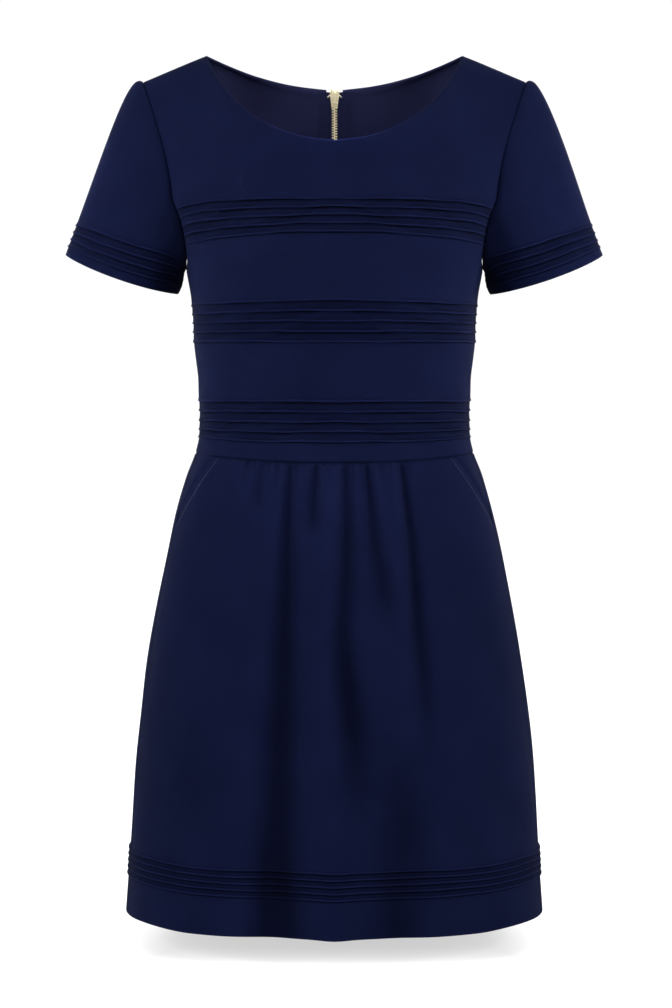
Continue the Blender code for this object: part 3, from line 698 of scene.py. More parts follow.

# A tuck from the top down: distance below its fold, share of its lift, and the cloth's painted
# shading, a painted highlight along the fold and painted shade under it
tuckNose = ((-0.0023, 0.26, 0.80), (-0.0014, 0.52, 0.90), (-0.0007, 0.84, 1.30),
            (-0.0002, 0.99, 1.45), (0.0003, 0.96, 1.15), (0.0006, 0.78, 0.60),
            (0.0007, 0.52, 0.30), (0.00055, 0.24, 0.15), (0.00045, 0.06, 0.10),
            (0.0009, -0.02, 0.12), (0.0016, 0.00, 0.40))
stripStart = ((0.60, 0.05), (0.42, 0.12))  # share of the pitch above a fold, share of its lift
# Painted shade of the cloth between the tucks and below a band's last one
paintedStripShade = 0.74          # of the cloth between two tucks
paintedLastShade = 0.70           # below a band's last tuck

tuckBands = dict(
    chest=dict(first=-0.1510, pitch=0.00825, count=5),
    ribs=dict(first=-0.2510, pitch=0.01010, count=5),
    waist=dict(first=-0.3506, pitch=0.01010, count=5),
    hem=dict(first=-0.8130, pitch=0.00650, count=5),
    cuff=dict(first=0.0337, pitch=0.0078, count=4),
)


def plainRows(levels):
    return [(level, 0.0, level, 1.0) for level in levels]


def tuckRows(band):
    # Rows of a band from the top down: level, share of the lift, level of the inner face, painted
    # shade
    rows = []
    inners = np.linspace(0.0023, -0.0016, len(tuckNose))
    for index in range(band["count"]):
        fold = band["first"] - band["pitch"] * index
        paintedStripLevel = paintedStripShade if index else 1.0
        for share, lift in stripStart:
            level = fold + band["pitch"] * share
            rows.append((level, lift, level, paintedStripLevel))
        for (down, lift, shade), inner in zip(tuckNose, inners):
            toneAndPaintedShading = shade * paintedStripLevel if down < -0.001 else shade
            if index == band["count"] - 1 and down > 0.001:
                toneAndPaintedShading = paintedLastShade
            rows.append((fold - down, lift, fold + inner, toneAndPaintedShading))
    return rows


def bandedRows(bands, top, bottom, spacing):
    # All the rows between two levels from the top down, with plain ones between the bands
    rows, at = [], top
    for band in bands:
        own = tuckRows(band)
        gap = at - own[0][0]
        count = max(int(gap / spacing), 1)
        rows += plainRows(at - gap * step / count for step in range(count)) + own
        at = own[-1][0] - 0.0008
    count = max(int((at - bottom) / spacing), 1)
    return rows + plainRows(np.linspace(at, bottom, count + 1))


def columnsOf(rows):
    # Level, share of the lift, inner level and painted shade, each as a column
    return np.array(rows, float).T[:, :, None]


def tuckLift(share, x, level, seed):
    return share * tuckLook["lift"] * (1.0 + ripple(x, level, seed, tuckLook["unevenness"], 38.0))


# Bodice

zipStitch = 0.0062         # from the zip opening's edge to the stitches beside it
bodiceLook = dict(
    columns=46,            # from the centre to one side
    span=0.205,            # about the distance from the centre to one side
    yokeRows=26,
    yokeEdge=(0.0072, 0.0095),     # from the top: the first close row, the end of the even ones
    rowSpacing=0.0045,
    neckShare=dict(front=5.0 / 7.0, back=0.68),
    neckBead=0.0007,
    neckTurnUnder=0.0085,  # depth of the turned under neck edge inside
    neckRoll=0.0003,
    chestDroop=0.0028,     # how far the chest's tucks bend down at the armholes
    chestEnd=-0.205,
    sideSeam=dict(depth=0.0002, width=0.0010),
    slowWave=0.0006,
    centre=(0.0, 0.0, -0.15),
)


def bodiceColumns(look, neckShare, startEdge):
    count, rest = look["columns"], 1.0 - neckShare
    left = edgedShares(int(count * neckShare), look["span"] * neckShare, startEdge,
                       edgeLines if startEdge else fewLines)
    right = edgedShares(int(count * rest), look["span"] * rest)
    return np.concatenate([left * neckShare, neckShare + rest * right[1:]])


def bodiceGrid(look, face, startX):
    # Points of the outer and the inner face over rows from the waist up, and their painted light
    # and shade
    form, wall, side = bodyForm, bodyForm["wall"], 1.0 if face == "front" else -1.0
    neckShare = look["neckShare"][face]
    bottom, yoke = form["waist"] - form["seamGap"], form["yoke"]
    across = bodiceColumns(look, neckShare, startX > 0.0)[None, :]
    x = across * 0.2

    def surface(a, h):
        return bodicePoint(a, h, face, neckShare, startX)

    rows = bandedRows([tuckBands[name] for name in ("chest", "ribs", "waist")], yoke,
                      bottom + edgeLines[-1], look["rowSpacing"])
    rows += plainRows(bottom + edgeLines[-2::-1])
    level, share, innerLevel, toneAndPaintedShading = columnsOf(rows[::-1])
    window = np.pad((share[:, 0] != 0.0) * 1.0, 3, mode="edge")
    window = np.convolve(window, np.ones(7) / 7.0, "valid")[:, None]
    stray = ripple(x, innerLevel, 2.0 + side, tuckLook["waver"], 34.0)
    droop = look["chestDroop"] * across**6 * ease((level - look["chestEnd"]) / 0.01)
    stray = (stray - droop) * window
    fade = 1.0 - np.where(level > form["underarm"], 0.8 * across**6, 0.55 * across**4)
    lift = tuckLift(share, x, innerLevel, 5.0 + side) * fade
    # The yoke: even rows, then rows at set distances from its upper edge
    steps = np.linspace(0.0, 1.0, 60)[:, None]
    arc = runLength(surface(across, yoke + steps * (1.0 - yoke)), 0)[-1:]
    firstClose, evenEnd = look["yokeEdge"]
    even = np.linspace(0.0, 1.0, look["yokeRows"] + 1)[1:, None] * (1.0 - evenEnd / arc)
    near = 1.0 - np.append(edgeLines, firstClose)[::-1, None] / arc
    yokeLevel = yoke + np.concatenate([even, near]) * (1.0 - yoke)
    outLevel, inLevel = (np.concatenate([np.clip(own + stray, bottom, yoke), yokeLevel])
                         for own in (level, innerLevel))
    lift = np.concatenate([lift, np.zeros(yokeLevel.shape)])
    toneAndPaintedShading = np.concatenate([toneAndPaintedShading, np.ones((len(yokeLevel), 1))])
    full = np.broadcast_to(across, outLevel.shape)

    def outward(points):
        return points - np.array(look["centre"])

    outPoint, outNormal = skin(surface, full, outLevel, (bottom, 1.0), outward)
    inPoint, inNormal = skin(surface, full, inLevel, (bottom, 1.0), outward)
    # Edges: distance to the waist seam, the side or armhole, the centre, the neck or shoulder
    yokePart = np.clip((outLevel - yoke) / (1.0 - yoke), 0.0, 1.0)
    toTop = np.where(yokePart > 0.0, (1.0 - yokePart) * arc, 1.0)
    toWaist = outLevel - bottom
    toSide, toOpening = (1.0 - full) * look["span"], full * look["span"]
    isNeck = full <= neckShare + 1e-6
    rimOut, rimIn = rimOffsets(toTop, wall, look["neckBead"])
    roll = look["neckRoll"] * bell(toTop - 0.0018, 0.0012)
    turned = turnedEdge(toTop, look["neckBead"], look["neckTurnUnder"])
    outOffset = (np.where(isNeck, rimOut + roll, seamDip(toTop)) + seamDip(toWaist)
                 + seamDip(toSide, **look["sideSeam"]))
    inOffset = np.where(isNeck, rimIn + turned, 0.0)
    if startX > 0.0:
        rimOut, rimIn = rimOffsets(toOpening, wall)
        outOffset = np.minimum(outOffset, rimOut)
        inOffset = inOffset + rimIn
    soft = ripple(outPoint[..., 0] + 0.4 * side, outPoint[..., 2], 3.0 + side, look["slowWave"],
                  26.0) * ease(toSide / 0.02) * ease(toTop / 0.02) * ease(toWaist / 0.02)
    pull = -side * form["seamGap"] / 2.0 * ((toTop < 0.5 * wall) & ~isNeck)
    shift = stack(0.0, pull, 0.0)
    outer = moved(outPoint, outNormal, outOffset + lift + soft, shift)
    inner = moved(inPoint, inNormal, inOffset - wall + soft, shift)
    if startX > 0.0:
        line = lineOn(outer, toOpening, zipStitch, np.ones(len(outer), bool))
        stitchLines["zipStitches"] += [line, flipped(line, -1.0)]
    # Painted shading of the tucks with some unevenness, and painted shade along the waist and side
    # seams
    shade = 1.0 + (toneAndPaintedShading - 1.0) * (1.0 + ripple(x, inLevel * 3.0, 7.0 + side, 0.45, 60.0))
    shade = shade * paintedSeamShade(toWaist) * paintedSeamShade(toSide, 0.15)
    # with a painted highlight along the rolled neck edge
    return outer, inner, shade * (1.0 + 2.0 * isNeck * bell(toTop - 0.0004, 0.0012))


def makeBodiceFront(look):
    outer, inner, shade = bodiceGrid(look, "front", 0.0)
    faces = [np.concatenate([flipped(points[:, :0:-1], -1.0), points], axis=1)
             for points in (outer, inner)]
    middle = outer.shape[1] - 1
    shade = np.concatenate([shade[:, :0:-1], shade], axis=1)
    return makeCloth("bodiceFront", "bodice_front", faces, shade, middle=middle)


def makeBodiceBack(look, name, node, side):
    outer, inner, shade = bodiceGrid(look, "back", bodyForm["zipHalf"])
    return makeCloth(name, node, (outer, inner), shade, side, paintedLightReverse=knitReverseWithPaintedLight)


bodiceFront = makeBodiceFront(bodiceLook)
bodiceBacks = pairOf(makeBodiceBack, bodiceLook, "bodiceBack", "bodice_back")
print("bodice made")


# Sleeves

sleeveLook = dict(
    columns=92,
    capRows=26,
    girth=0.29,            # about the distance round it
    centre=(0.2168, 0.0, -0.2228),
    tilt=19.4,             # degrees of the cuff's plane
    hang=24.0,
    halfWidth=0.0607,
    halfDepth=0.0460,
    frontDip=0.0060,
    pull=1.05,
    underarmRoom=1.12,
    outerSqueeze=0.15,     # how much closer the tucks lie on the outer side
    # Painted shade: the sleeve is painted darker under the arm
    pitShade=0.74,         # how much darker the sleeve is under the arm
    pitRoom=0.0024,        # how far it stands out there, towards the bodice
    capBulge=0.0032,       # how far the cap rounds outward
    slowWave=0.0009,
    turnUp=0.0125,         # depth of the cuff's turned up edge inside
    bead=0.0009,
)


def armholeLine(face):
    # Edge of the armhole from the underarm to the shoulder tip, with the turn at each point
    startX = 0.0 if face == "front" else bodyForm["zipHalf"]
    yoke, underarm = bodyForm["yoke"], bodyForm["underarm"]
    steps = np.linspace(0.0, 1.0, 40)
    heights = np.concatenate([underarm + (yoke - underarm) * steps**2,
                              yoke + steps[1:] * (1.0 - yoke)])
    points = bodicePoint(np.ones(heights.shape), heights, face, bodiceLook["neckShare"][face],
                         startX)
    length = runLength(points, 0)
    return points, 0.5 * length / length[-1]


frontLine, frontTurns = armholeLine("front")
backLine, backTurns = armholeLine("back")
armholePoints = np.concatenate([frontLine, backLine[-2::-1]])
armholeTurns = np.concatenate([frontTurns, 1.0 - backTurns[-2::-1]])


def pointOn(points, places, at):
    # Point of a line at one of its places
    return stack(*[np.interp(at, places, points[:, k]) for k in range(3)])


def sleevePoint(turn, share, look=sleeveLook):
    # share runs from 0 at the armhole to 1 at the cuff's edge
    turn, share = np.broadcast_arrays(np.asarray(turn, float), np.asarray(share, float))
    around = 2.0 * math.pi * turn
    tilt, hang = math.radians(look["tilt"]), math.radians(look["hang"])
    axis = np.array((math.sin(tilt), 0.0, -math.cos(tilt)))
    outward = np.array((math.cos(tilt), 0.0, math.sin(tilt)))
    dip = look["frontDip"] * np.maximum(np.sin(around), 0.0) ** 1.5
    cuff = (np.array(look["centre"]) - outward * (look["halfWidth"] * np.cos(around))[..., None]
            + axis * dip[..., None] - stack(0.0, look["halfDepth"] * np.sin(around), 0.0))
    crown = 0.5 - 0.5 * np.cos(around)
    rise = 0.045 * np.maximum(2.0 * crown - 1.0, 0.0)
    startPull = stack(0.020 + 0.018 * crown, -0.022 * np.sin(around), rise - 0.004)
    start = pointOn(armholePoints, armholeTurns, np.clip(turn, 0.0, 1.0))
    start = start + unit(startPull) * bodyForm["seamGap"]
    length = np.linalg.norm(cuff - start, axis=-1, keepdims=True)
    endPull = np.array((math.sin(hang), 0.0, -math.cos(hang))) * length * look["pull"]
    return hermite(start, startPull, cuff, endPull, share)


def makeSleeve(look, name, node, side):
    band, wall = tuckBands["cuff"], bodyForm["wall"]
    turn = edgedShares(look["columns"], look["girth"])[None, :]
    ends = sleevePoint(turn, np.array([[0.0], [1.0]]))
    length = np.linalg.norm(ends[1] - ends[0], axis=-1)[None, :] * look["pull"]
    squeeze = np.minimum(1.0, length / look["pull"] / (band["first"] * look["underarmRoom"]))
    squeeze = squeeze * (1.0 - look["outerSqueeze"] * bell(turn - 0.5, 0.14))
    scale = squeeze / length       # share of the sleeve to each metre of cuff
    rows = tuckRows(band)
    plain = np.linspace(rows[-1][0] - 0.0008, edgeLines[-1], 4)
    level, rowLift, innerLevel, toneAndPaintedShading = columnsOf(
        rows + plainRows(np.concatenate([plain, edgeLines[-2::-1]])))
    capTop = 1.0 - level[0] * scale
    near = edgeLines[:, None] / np.maximum(capTop * length, 0.0068)
    even = near[-1] + (1.0 - near[-1]) * np.linspace(0.0, 1.0, look["capRows"])[1:-1, None]
    capShare = np.concatenate([near, even]) * capTop
    stray = ripple(turn * 0.3 + 0.7, innerLevel, 9.0 + side, tuckLook["lowWaver"], 50.0)
    stray = stray * (rowLift != 0.0)
    outShare, inShare = (np.concatenate([capShare, 1.0 - (own + stray) * scale])[::-1]
                         for own in (level, innerLevel))
    blank = np.zeros((len(capShare), 1))
    rowLift, toneAndPaintedShading = (np.concatenate([cap, own])[::-1]
                     for cap, own in ((blank, rowLift), (blank + 1.0, toneAndPaintedShading)))
    full = np.broadcast_to(turn, outShare.shape)
    nearSeam = np.minimum(full, 1.0 - full)
    tip, centre = np.array(bodyForm["shoulderTip"]), np.array(look["centre"])
    middle = centre + (tip - centre) * (0.6 * (1.0 - outShare))[..., None]

    def outward(points):
        return points - middle

    def skinAt(share):
        normal = skin(sleevePoint, np.clip(full, 0.001, 0.999), share, (0.0, 1.0), outward)[1]
        return sleevePoint(full, share), normal

    (outPoint, outNormal), (inPoint, inNormal) = skinAt(outShare), skinAt(inShare)
    toCuff = np.maximum((1.0 - outShare) / scale, 0.0)
    toArmhole, toSeam = outShare * length, nearSeam * look["girth"]
    underarm = bell(nearSeam, 0.11)
    lift = tuckLift(rowLift, full * 0.3, outShare * 0.2, 11.0 + side)
    lift = lift * (1.0 - 0.4 * bell(full - 0.5, 0.12)) * (1.0 - 0.85 * underarm)
    away = ease(toArmhole / 0.03)
    soft = (ripple(outPoint[..., 0] * 1.4, outPoint[..., 2] * 0.6, 21.0 + side, look["slowWave"],
                   40.0) * away
            + look["pitRoom"] * underarm * np.sin(math.pi * outShare)
            + look["capBulge"] * bell(full - 0.5, 0.13) * away * np.sin(math.pi * outShare**0.66))
    rimOut, rimIn = rimOffsets(toCuff, wall, look["bead"])
    outOffset = rimOut + seamDip(toArmhole, 0.0003, 0.0010) + seamDip(toSeam) + lift + soft
    inOffset = rimIn + turnedEdge(toCuff, look["bead"], look["turnUp"]) - wall + soft
    gap = bodyForm["seamGap"] / 2.0
    shift = stack(0.0, gap * ((full > 0.9999) * 1.0 - (full < 0.0001)), 0.0)
    faces = moved(outPoint, outNormal, outOffset, shift), moved(inPoint, inNormal, inOffset, shift)
    # Painted shade under the arm and along the seams, on top of the tucks' painted shading
    paintedPit = 1.0 - look["pitShade"] * ease(1.0 - nearSeam / 0.22)
    shade = toneAndPaintedShading * paintedSeamShade(toArmhole, 0.15) * paintedSeamShade(toSeam) * paintedPit
    return makeCloth(name, node, faces, shade, side, turn.shape[1] // 2)


sleeves = pairOf(makeSleeve, sleeveLook, "sleeve", "sleeve")
print("sleeves made")


# Skirt

skirtLook = dict(
    frontColumns=176,
    backColumns=58,
    rowSpacing=0.0042,
    frontSpan=0.21,        # about the distance from the centre to one side
    backSpan=0.215,
    pocketTop=55.0,        # degrees from the centre front at which the pocket's mouth starts
    pocketEnd=-0.482,
    underlap=0.055,
    pocketDrop=0.0019,
    mouthGape=0.0003,
    stitchLine=0.0062,     # from the mouth's edge
    stitchBow=0.0036,      # how much farther halfway down
    welt=dict(depth=0.00025, width=0.0007),
    turnUp=0.030,
    bead=0.0009,
    puff=0.0012,           # how far the gathered cloth stands out below the waist seam
    rise=(0.0020, 0.0028, 0.0009),     # of the hem: beside the middle, at the sides, on the right
)

# Folds of the front: line of (x, level) down the skirt, depth and width at its top and foot,
# and the height of the ridge beside it, to the wearer's left where it is above 0
frontFolds = (
    dict(line=((-0.0714, -0.412), (-0.0777, -0.462)), depth=(0.0036, 0.0028), width=(0.0036, 0.007),
         ridge=-0.2),
    dict(line=((-0.0440, -0.412), (-0.0460, -0.450), (-0.0488, -0.546), (-0.0560, -0.745),
               (-0.0600, -0.880)), depth=(0.0052, 0.0095), width=(0.0038, 0.022), ridge=-0.15),
    dict(line=((-0.0180, -0.412), (-0.0221, -0.490)), depth=(0.0052, 0.0042), width=(0.0036, 0.008),
         ridge=0.25),
    dict(line=((0.0108, -0.412), (0.0123, -0.470), (0.0085, -0.583), (0.0165, -0.664),
               (0.0239, -0.745), (0.0260, -0.800)), depth=(0.0046, 0.0085), width=(0.0046, 0.016),
         ridge=-0.25),
    dict(line=((0.0322, -0.412), (0.0399, -0.487), (0.0593, -0.590)), depth=(0.0050, 0.0046),
         width=(0.0036, 0.011), ridge=0.3),
    dict(line=((0.0470, -0.412), (0.0500, -0.432)), depth=(0.0022, 0.0016), width=(0.0026, 0.004),
         ridge=0.2),
    dict(line=((0.0662, -0.412), (0.0690, -0.434), (0.0765, -0.487), (0.0825, -0.567),
               (0.0917, -0.649), (0.0960, -0.720)), depth=(0.0046, 0.0056), width=(0.0040, 0.012),
         ridge=-0.35),
    dict(line=((0.0700, -0.690), (0.0640, -0.880)), depth=(0.0014, 0.0070), width=(0.018, 0.026),
         ridge=0.0),
)

# Small gathers that die out just below the waist seam: x, length, depth
seamGathers = (
    (-0.0860, 0.018, 0.0013), (-0.0790, 0.022, 0.0008), (-0.0640, 0.018, 0.0009),
    (-0.0570, 0.030, 0.0011), (-0.0510, 0.016, 0.0008), (-0.0370, 0.026, 0.0011),
    (-0.0310, 0.018, 0.0009), (-0.0250, 0.034, 0.0008), (-0.0110, 0.024, 0.0010),
    (-0.0050, 0.030, 0.0009), (0.0020, 0.020, 0.0010), (0.0190, 0.026, 0.0010),
    (0.0255, 0.018, 0.0009), (0.0400, 0.022, 0.0010), (0.0545, 0.030, 0.0010),
    (0.0600, 0.018, 0.0008), (0.0730, 0.016, 0.0005),
)


def foldDepths(x, level, folds):
    total = 0.0
    for fold in folds:
        line = np.array(fold["line"])[::-1]
        top, foot = line[-1, 1], line[0, 1]
        share = np.clip((top - level) / (top - foot), 0.0, 1.0)
        centre = np.interp(level, line[:, 1], line[:, 0])
        (topDepth, footDepth), (topWidth, footWidth) = fold["depth"], fold["width"]
        depth = topDepth + (footDepth - topDepth) * share
        width = topWidth + (footWidth - topWidth) * share**0.8
        fade = 1.0 - ease((share - 0.62) / 0.38) if foot > -0.86 else 1.0
        fade = fade * bell(np.maximum(foot - level, 0.0), 0.02) * (level <= top + 0.004)
        fade = fade * (0.2 + 0.8 * ease((bodyForm["waist"] - level) / 0.006))
        u = (x - centre) / width
        crest = abs(fold["ridge"]) * bell(u - 1.7 * np.sign(fold["ridge"]), 0.9)
        total = total - depth * fade * (bell(u, 1.0) - crest)
    return total


def gatherDepths(x, level, look):
    below = np.maximum(bodyForm["waist"] - level, 0.0)
    total = 0.0
    for place, length, depth in seamGathers:
        fade = np.exp(-(below / length) ** 2 * 1.6) * (0.2 + 0.8 * ease(below / 0.003))
        fan = place * (1.0 + 0.9 * below)
        total = total - 1.7 * depth * fade * bell(x - fan, 0.0020 + 0.05 * below)
    gathered = np.exp(-((x + 0.009) / 0.088) ** 8)
    return total + look["puff"] * gathered * ease(below / 0.006) * bell(below, 0.045)


def paintedFoldShade(folds):
    # Painted shade: cloth down in a fold is painted darker, and raised cloth a little lighter
    return np.clip(1.0 + folds * 75.0, 0.48, 1.12)


def mouthAngle(level, look=skirtLook):
    waist, end = bodyForm["waist"], look["pocketEnd"]
    share = np.clip((waist - level) / (waist - end), 0.0, 1.0)
    top, foot = math.radians(look["pocketTop"]), seamAngle(np.array(end))
    return np.where(level <= end, seamAngle(level), top + (foot - top) * share**0.92)


def signedSection(angle, level):
    return sectionPoint(np.abs(angle), level) * stack(np.where(angle < 0.0, -1.0, 1.0), 1.0, 1.0)


def levelOnly(points):
    return points * np.array((1.0, 1.0, 0.0))


def skirtGrid(look, shares, x, seeds):
    # Levels of the outer and inner face from the hem up, the tucks' lift, and the rows' painted
    # shade
    top, hem = bodyForm["waist"] - bodyForm["seamGap"], bodyForm["hem"]
    rows = plainRows(top - edgeLines[:-1])
    rows += bandedRows([tuckBands["hem"]], top - edgeLines[-1], hem + edgeLines[-1],
                       look["rowSpacing"])
    level, rowLift, innerLevel, toneAndPaintedShading = columnsOf((rows + plainRows(hem + edgeLines[-2::-1]))[::-1])
    stray = ripple(x, innerLevel, seeds[0], tuckLook["lowWaver"], 30.0) * (rowLift != 0.0)
    outLevel, inLevel = level + stray, innerLevel + stray
    lift = tuckLift(rowLift, x, inLevel, seeds[1])
    return np.broadcast_to(shares, outLevel.shape), outLevel, inLevel, lift, toneAndPaintedShading


def skirtOffsets(look, outLevel, lift, soft):
    # What both skirt halves share: the waist seam, the tucks and the turned up hem
    toHem = outLevel - bodyForm["hem"]
    toWaist = bodyForm["waist"] - bodyForm["seamGap"] - outLevel
    rimOut, rimIn = rimOffsets(toHem, bodyForm["wall"], look["bead"])
    outOffset = rimOut + seamDip(toWaist, **waistDip) + lift + soft
    turned = turnedEdge(toHem, look["bead"], look["turnUp"])
    return outOffset, rimIn + turned - bodyForm["wall"] + soft, toWaist


def hemRise(x, level, middle, ends, left=0.0):
    # The hem hangs a little higher away from the middle of the front and at the sides
    share = np.clip((bodyForm["waist"] - level) / (bodyForm["waist"] - bodyForm["hem"]), 0.0, 1.0)
    rise = middle + ends * ease((np.abs(x) - 0.14) / 0.06)
    return (rise + left * bell(x + 0.082, 0.03)) * share**2


def makeSkirtFront(look):
    half = edgedShares(look["frontColumns"] // 2, look["frontSpan"], False)
    shares = np.concatenate([-half[:0:-1], half])[None, :]
    full, outLevel, inLevel, lift, toneAndPaintedShading = skirtGrid(look, shares, shares * 0.2, (14.0, 15.0))
    top, limits = bodyForm["waist"], (bodyForm["hem"], bodyForm["waist"])
    outPoint, outNormal = skin(signedSection, mouthAngle(outLevel) * full, outLevel, limits,
                               levelOnly)
    inPoint, inNormal = skin(signedSection, mouthAngle(inLevel) * full, inLevel, limits, levelOnly)
    x = outPoint[..., 0]
    toEdge = (1.0 - np.abs(full)) * mouthAngle(inLevel) * read(sections, "halfWidth", inLevel)
    toEdge = toEdge * 0.92
    gathers = gatherDepths(x, inLevel, look)
    soft = ripple(x, inLevel * 0.25, 4.0, 0.0010, 30.0)
    folds = (foldDepths(x, inLevel, frontFolds) + gathers
             + soft * ease((top - inLevel) / 0.08) * ease(toEdge / 0.02))
    outOffset, inOffset, toWaist = skirtOffsets(look, outLevel, lift, folds)
    isMouth = inLevel > look["pocketEnd"]
    rimOut, rimIn = rimOffsets(toEdge, bodyForm["wall"])
    bow = np.sin(math.pi * np.clip((top - inLevel) / (top - look["pocketEnd"]), 0.0, 1.0))
    gape = look["mouthGape"] * bow * bell(toEdge, 0.02)
    toStitch = toEdge - look["stitchBow"] * bow
    welt = seamDip(toStitch - look["stitchLine"], **look["welt"])
    outOffset = outOffset + np.where(isMouth, rimOut + gape + welt, seamDip(toEdge, **sideDip))
    inOffset = inOffset + np.where(isMouth, rimIn + gape, 0.0)
    rise = stack(0.0, 0.0, hemRise(x, inLevel, *look["rise"]) * (1.0 - bell(x, 0.018)))
    faces = moved(outPoint, outNormal, outOffset, rise), moved(inPoint, inNormal, inOffset, rise)
    # Painted shade along the waist seam and the side seam, in the folds and in the gathers, on top
    # of the tucks' painted shading
    shade = toneAndPaintedShading * paintedSeamShade(toWaist) * np.where(isMouth, 1.0, paintedSeamShade(toEdge))
    shade = shade * paintedFoldShade(folds) * paintedFoldShade(gathers * 2.6)
    middle = full.shape[1] // 2
    stitchLines["pocketStitches"] += [
        lineOn(faces[0][:, half], toStitch[:, half], look["stitchLine"], isMouth[:, 0])
        for half in (slice(middle, None), slice(0, middle))]
    return makeCloth("skirtFront", "skirt_front", faces, shade, middle=middle)


# Folds of each back half by its side, x away from the middle
backFolds = {
    1.0: (
        dict(line=((0.062, -0.418), (0.070, -0.520), (0.082, -0.700), (0.088, -0.880)),
             depth=(0.0006, 0.0048), width=(0.010, 0.026), ridge=0.15),
        dict(line=((0.118, -0.430), (0.130, -0.560), (0.140, -0.720)), depth=(0.0006, 0.0030),
             width=(0.010, 0.018), ridge=-0.2),
        dict(line=((0.030, -0.560), (0.038, -0.720), (0.040, -0.880)), depth=(0.0004, 0.0036),
             width=(0.014, 0.022), ridge=-0.15),
    ),
    -1.0: (
        dict(line=((0.056, -0.420), (0.066, -0.540), (0.074, -0.740), (0.078, -0.880)),
             depth=(0.0006, 0.0044), width=(0.010, 0.024), ridge=-0.2),
        dict(line=((0.108, -0.425), (0.122, -0.520), (0.136, -0.660)), depth=(0.0007, 0.0028),
             width=(0.009, 0.016), ridge=0.2),
        dict(line=((0.128, -0.680), (0.132, -0.880)), depth=(0.0006, 0.0042),
             width=(0.018, 0.026), ridge=0.1),
    ),
}
zipClose = bodyForm["zipEnd"] - 0.014


def backStart(level):
    # Distance of the back's inner edge from the centre: wide beside the zip only
    return bodyForm["zipHalf"] * ease((level - zipClose) / (bodyForm["zipEnd"] - zipClose))


def skirtBackPoint(across, level):
    return shellPoint(across, level, "back", backStart(level))


def makeSkirtBack(look, name, node, side):
    across = edgedShares(look["backColumns"], look["backSpan"])[None, :]
    full, outLevel, inLevel, lift, toneAndPaintedShading = skirtGrid(look, across, across * 0.2 * side, (17.0, 18.0))
    top, limits = bodyForm["waist"], (bodyForm["hem"], bodyForm["waist"])
    outPoint, outNormal = skin(skirtBackPoint, full, outLevel, limits, levelOnly)
    inPoint, inNormal = skin(skirtBackPoint, full, inLevel, limits, levelOnly)
    x = outPoint[..., 0]
    toEdge, toMiddle = (1.0 - full) * look["backSpan"], full * look["backSpan"]
    folds = (foldDepths(x, inLevel, backFolds[side])
             + ripple(x * side, inLevel * 0.25, 6.0 + side, 0.0009, 28.0))
    folds = folds * ease(toMiddle / 0.02) * ease((top - inLevel) / 0.03) * ease(toEdge / 0.02)
    outOffset, inOffset, toWaist = skirtOffsets(look, outLevel, lift, folds)
    rimOut, rimIn = rimOffsets(toMiddle, bodyForm["wall"])
    besideZip = inLevel > zipClose + 0.002
    outOffset = (outOffset + seamDip(toEdge, **sideDip)
                 + np.where(besideZip, rimOut, seamDip(toMiddle)))
    inOffset = inOffset + np.where(besideZip, rimIn, 0.0)
    rise = stack(0.0, 0.0, hemRise(x * side, inLevel, *look["rise"][:2]))
    faces = moved(outPoint, outNormal, outOffset, rise), moved(inPoint, inNormal, inOffset, rise)
    line = lineOn(faces[0], toMiddle, zipStitch, besideZip[:, 0])
    stitchLines["zipStitches"].append(flipped(line, side))
    # Painted shade along the seams and in the folds, on top of the tucks' painted shading
    shade = toneAndPaintedShading * paintedSeamShade(toWaist) * paintedSeamShade(toEdge) * paintedFoldShade(folds)
    return makeCloth(name, node, faces, shade, side)


def makeHipPiece(look, name, node, side):
    # Cloth behind a pocket's mouth: it dips under the front and meets the side seam
    top = bodyForm["waist"] - bodyForm["seamGap"]
    lines = np.concatenate([edgeLines, np.linspace(edgeLines[-1], top - look["pocketEnd"], 26)[1:]])
    level = (top - lines)[::-1, None]
    width, mouth = read(sections, "halfWidth", level), mouthAngle(level)
    first = mouth - look["underlap"]
    last = seamAngle(level) - bodyForm["seamGap"] / 2.0 / width
    angle = first + (last - first) * edgedShares(26, 0.045, False)[None, :]
    level = np.broadcast_to(level, angle.shape)
    point, normal = skin(sectionPoint, angle, level, (bodyForm["hem"], bodyForm["waist"]),
                         levelOnly)
    sink = look["pocketDrop"] * (1.0 - ease((angle - mouth - 0.01) / 0.10))
    toSide = (last - angle) * width
    offset = seamDip(toSide, **sideDip) + seamDip(top - level, **waistDip) - sink
    faces = moved(point, normal, offset), moved(point, normal, -sink - bodyForm["wall"])
    return makeCloth(name, node, faces, 1.0, side)


skirtFront = makeSkirtFront(skirtLook)
skirtBacks = pairOf(makeSkirtBack, skirtLook, "skirtBack", "skirt_back")
hipPieces = pairOf(makeHipPiece, skirtLook, "hipPiece", "hip_piece")
print("skirt made")


# Zip, seen from inside through the neck and from behind

zipLook = dict(
    chainHalf=0.0030,
    tapeDepth=0.0023,
    tapeThick=0.0010,
    tapeLines=(0.0004, 0.0007, 0.0014, 0.0024, 0.0033, 0.0038, 0.0043, 0.0048, 0.0058, 0.0075,
               0.0095, 0.0125, 0.0142, 0.0150, 0.0158, 0.0162),
    tapeRibs=((0.0043, 0.00030), (0.0150, 0.00015)),
    tapeTop=0.985,
    chainDepth=0.0028,
    chainTop=0.925,
    sliderAt=0.905,
    pitch=0.00275,
    firstTooth=0.0005,
    # Boxes of one tooth in the zip's own frame: lowest and highest corner
    tooth=(((0.0010, -0.00070, -0.0014), (0.0028, 0.00070, 0.0014)),
           ((-0.0008, -0.00056, -0.0012), (0.0012, 0.00056, 0.0012))),
    toothBevel=0.00026,
    stopBevel=0.0006,
    stop=((-0.0032, -0.0017, -0.0016), (0.0032, 0.0017, 0.0016)),
)


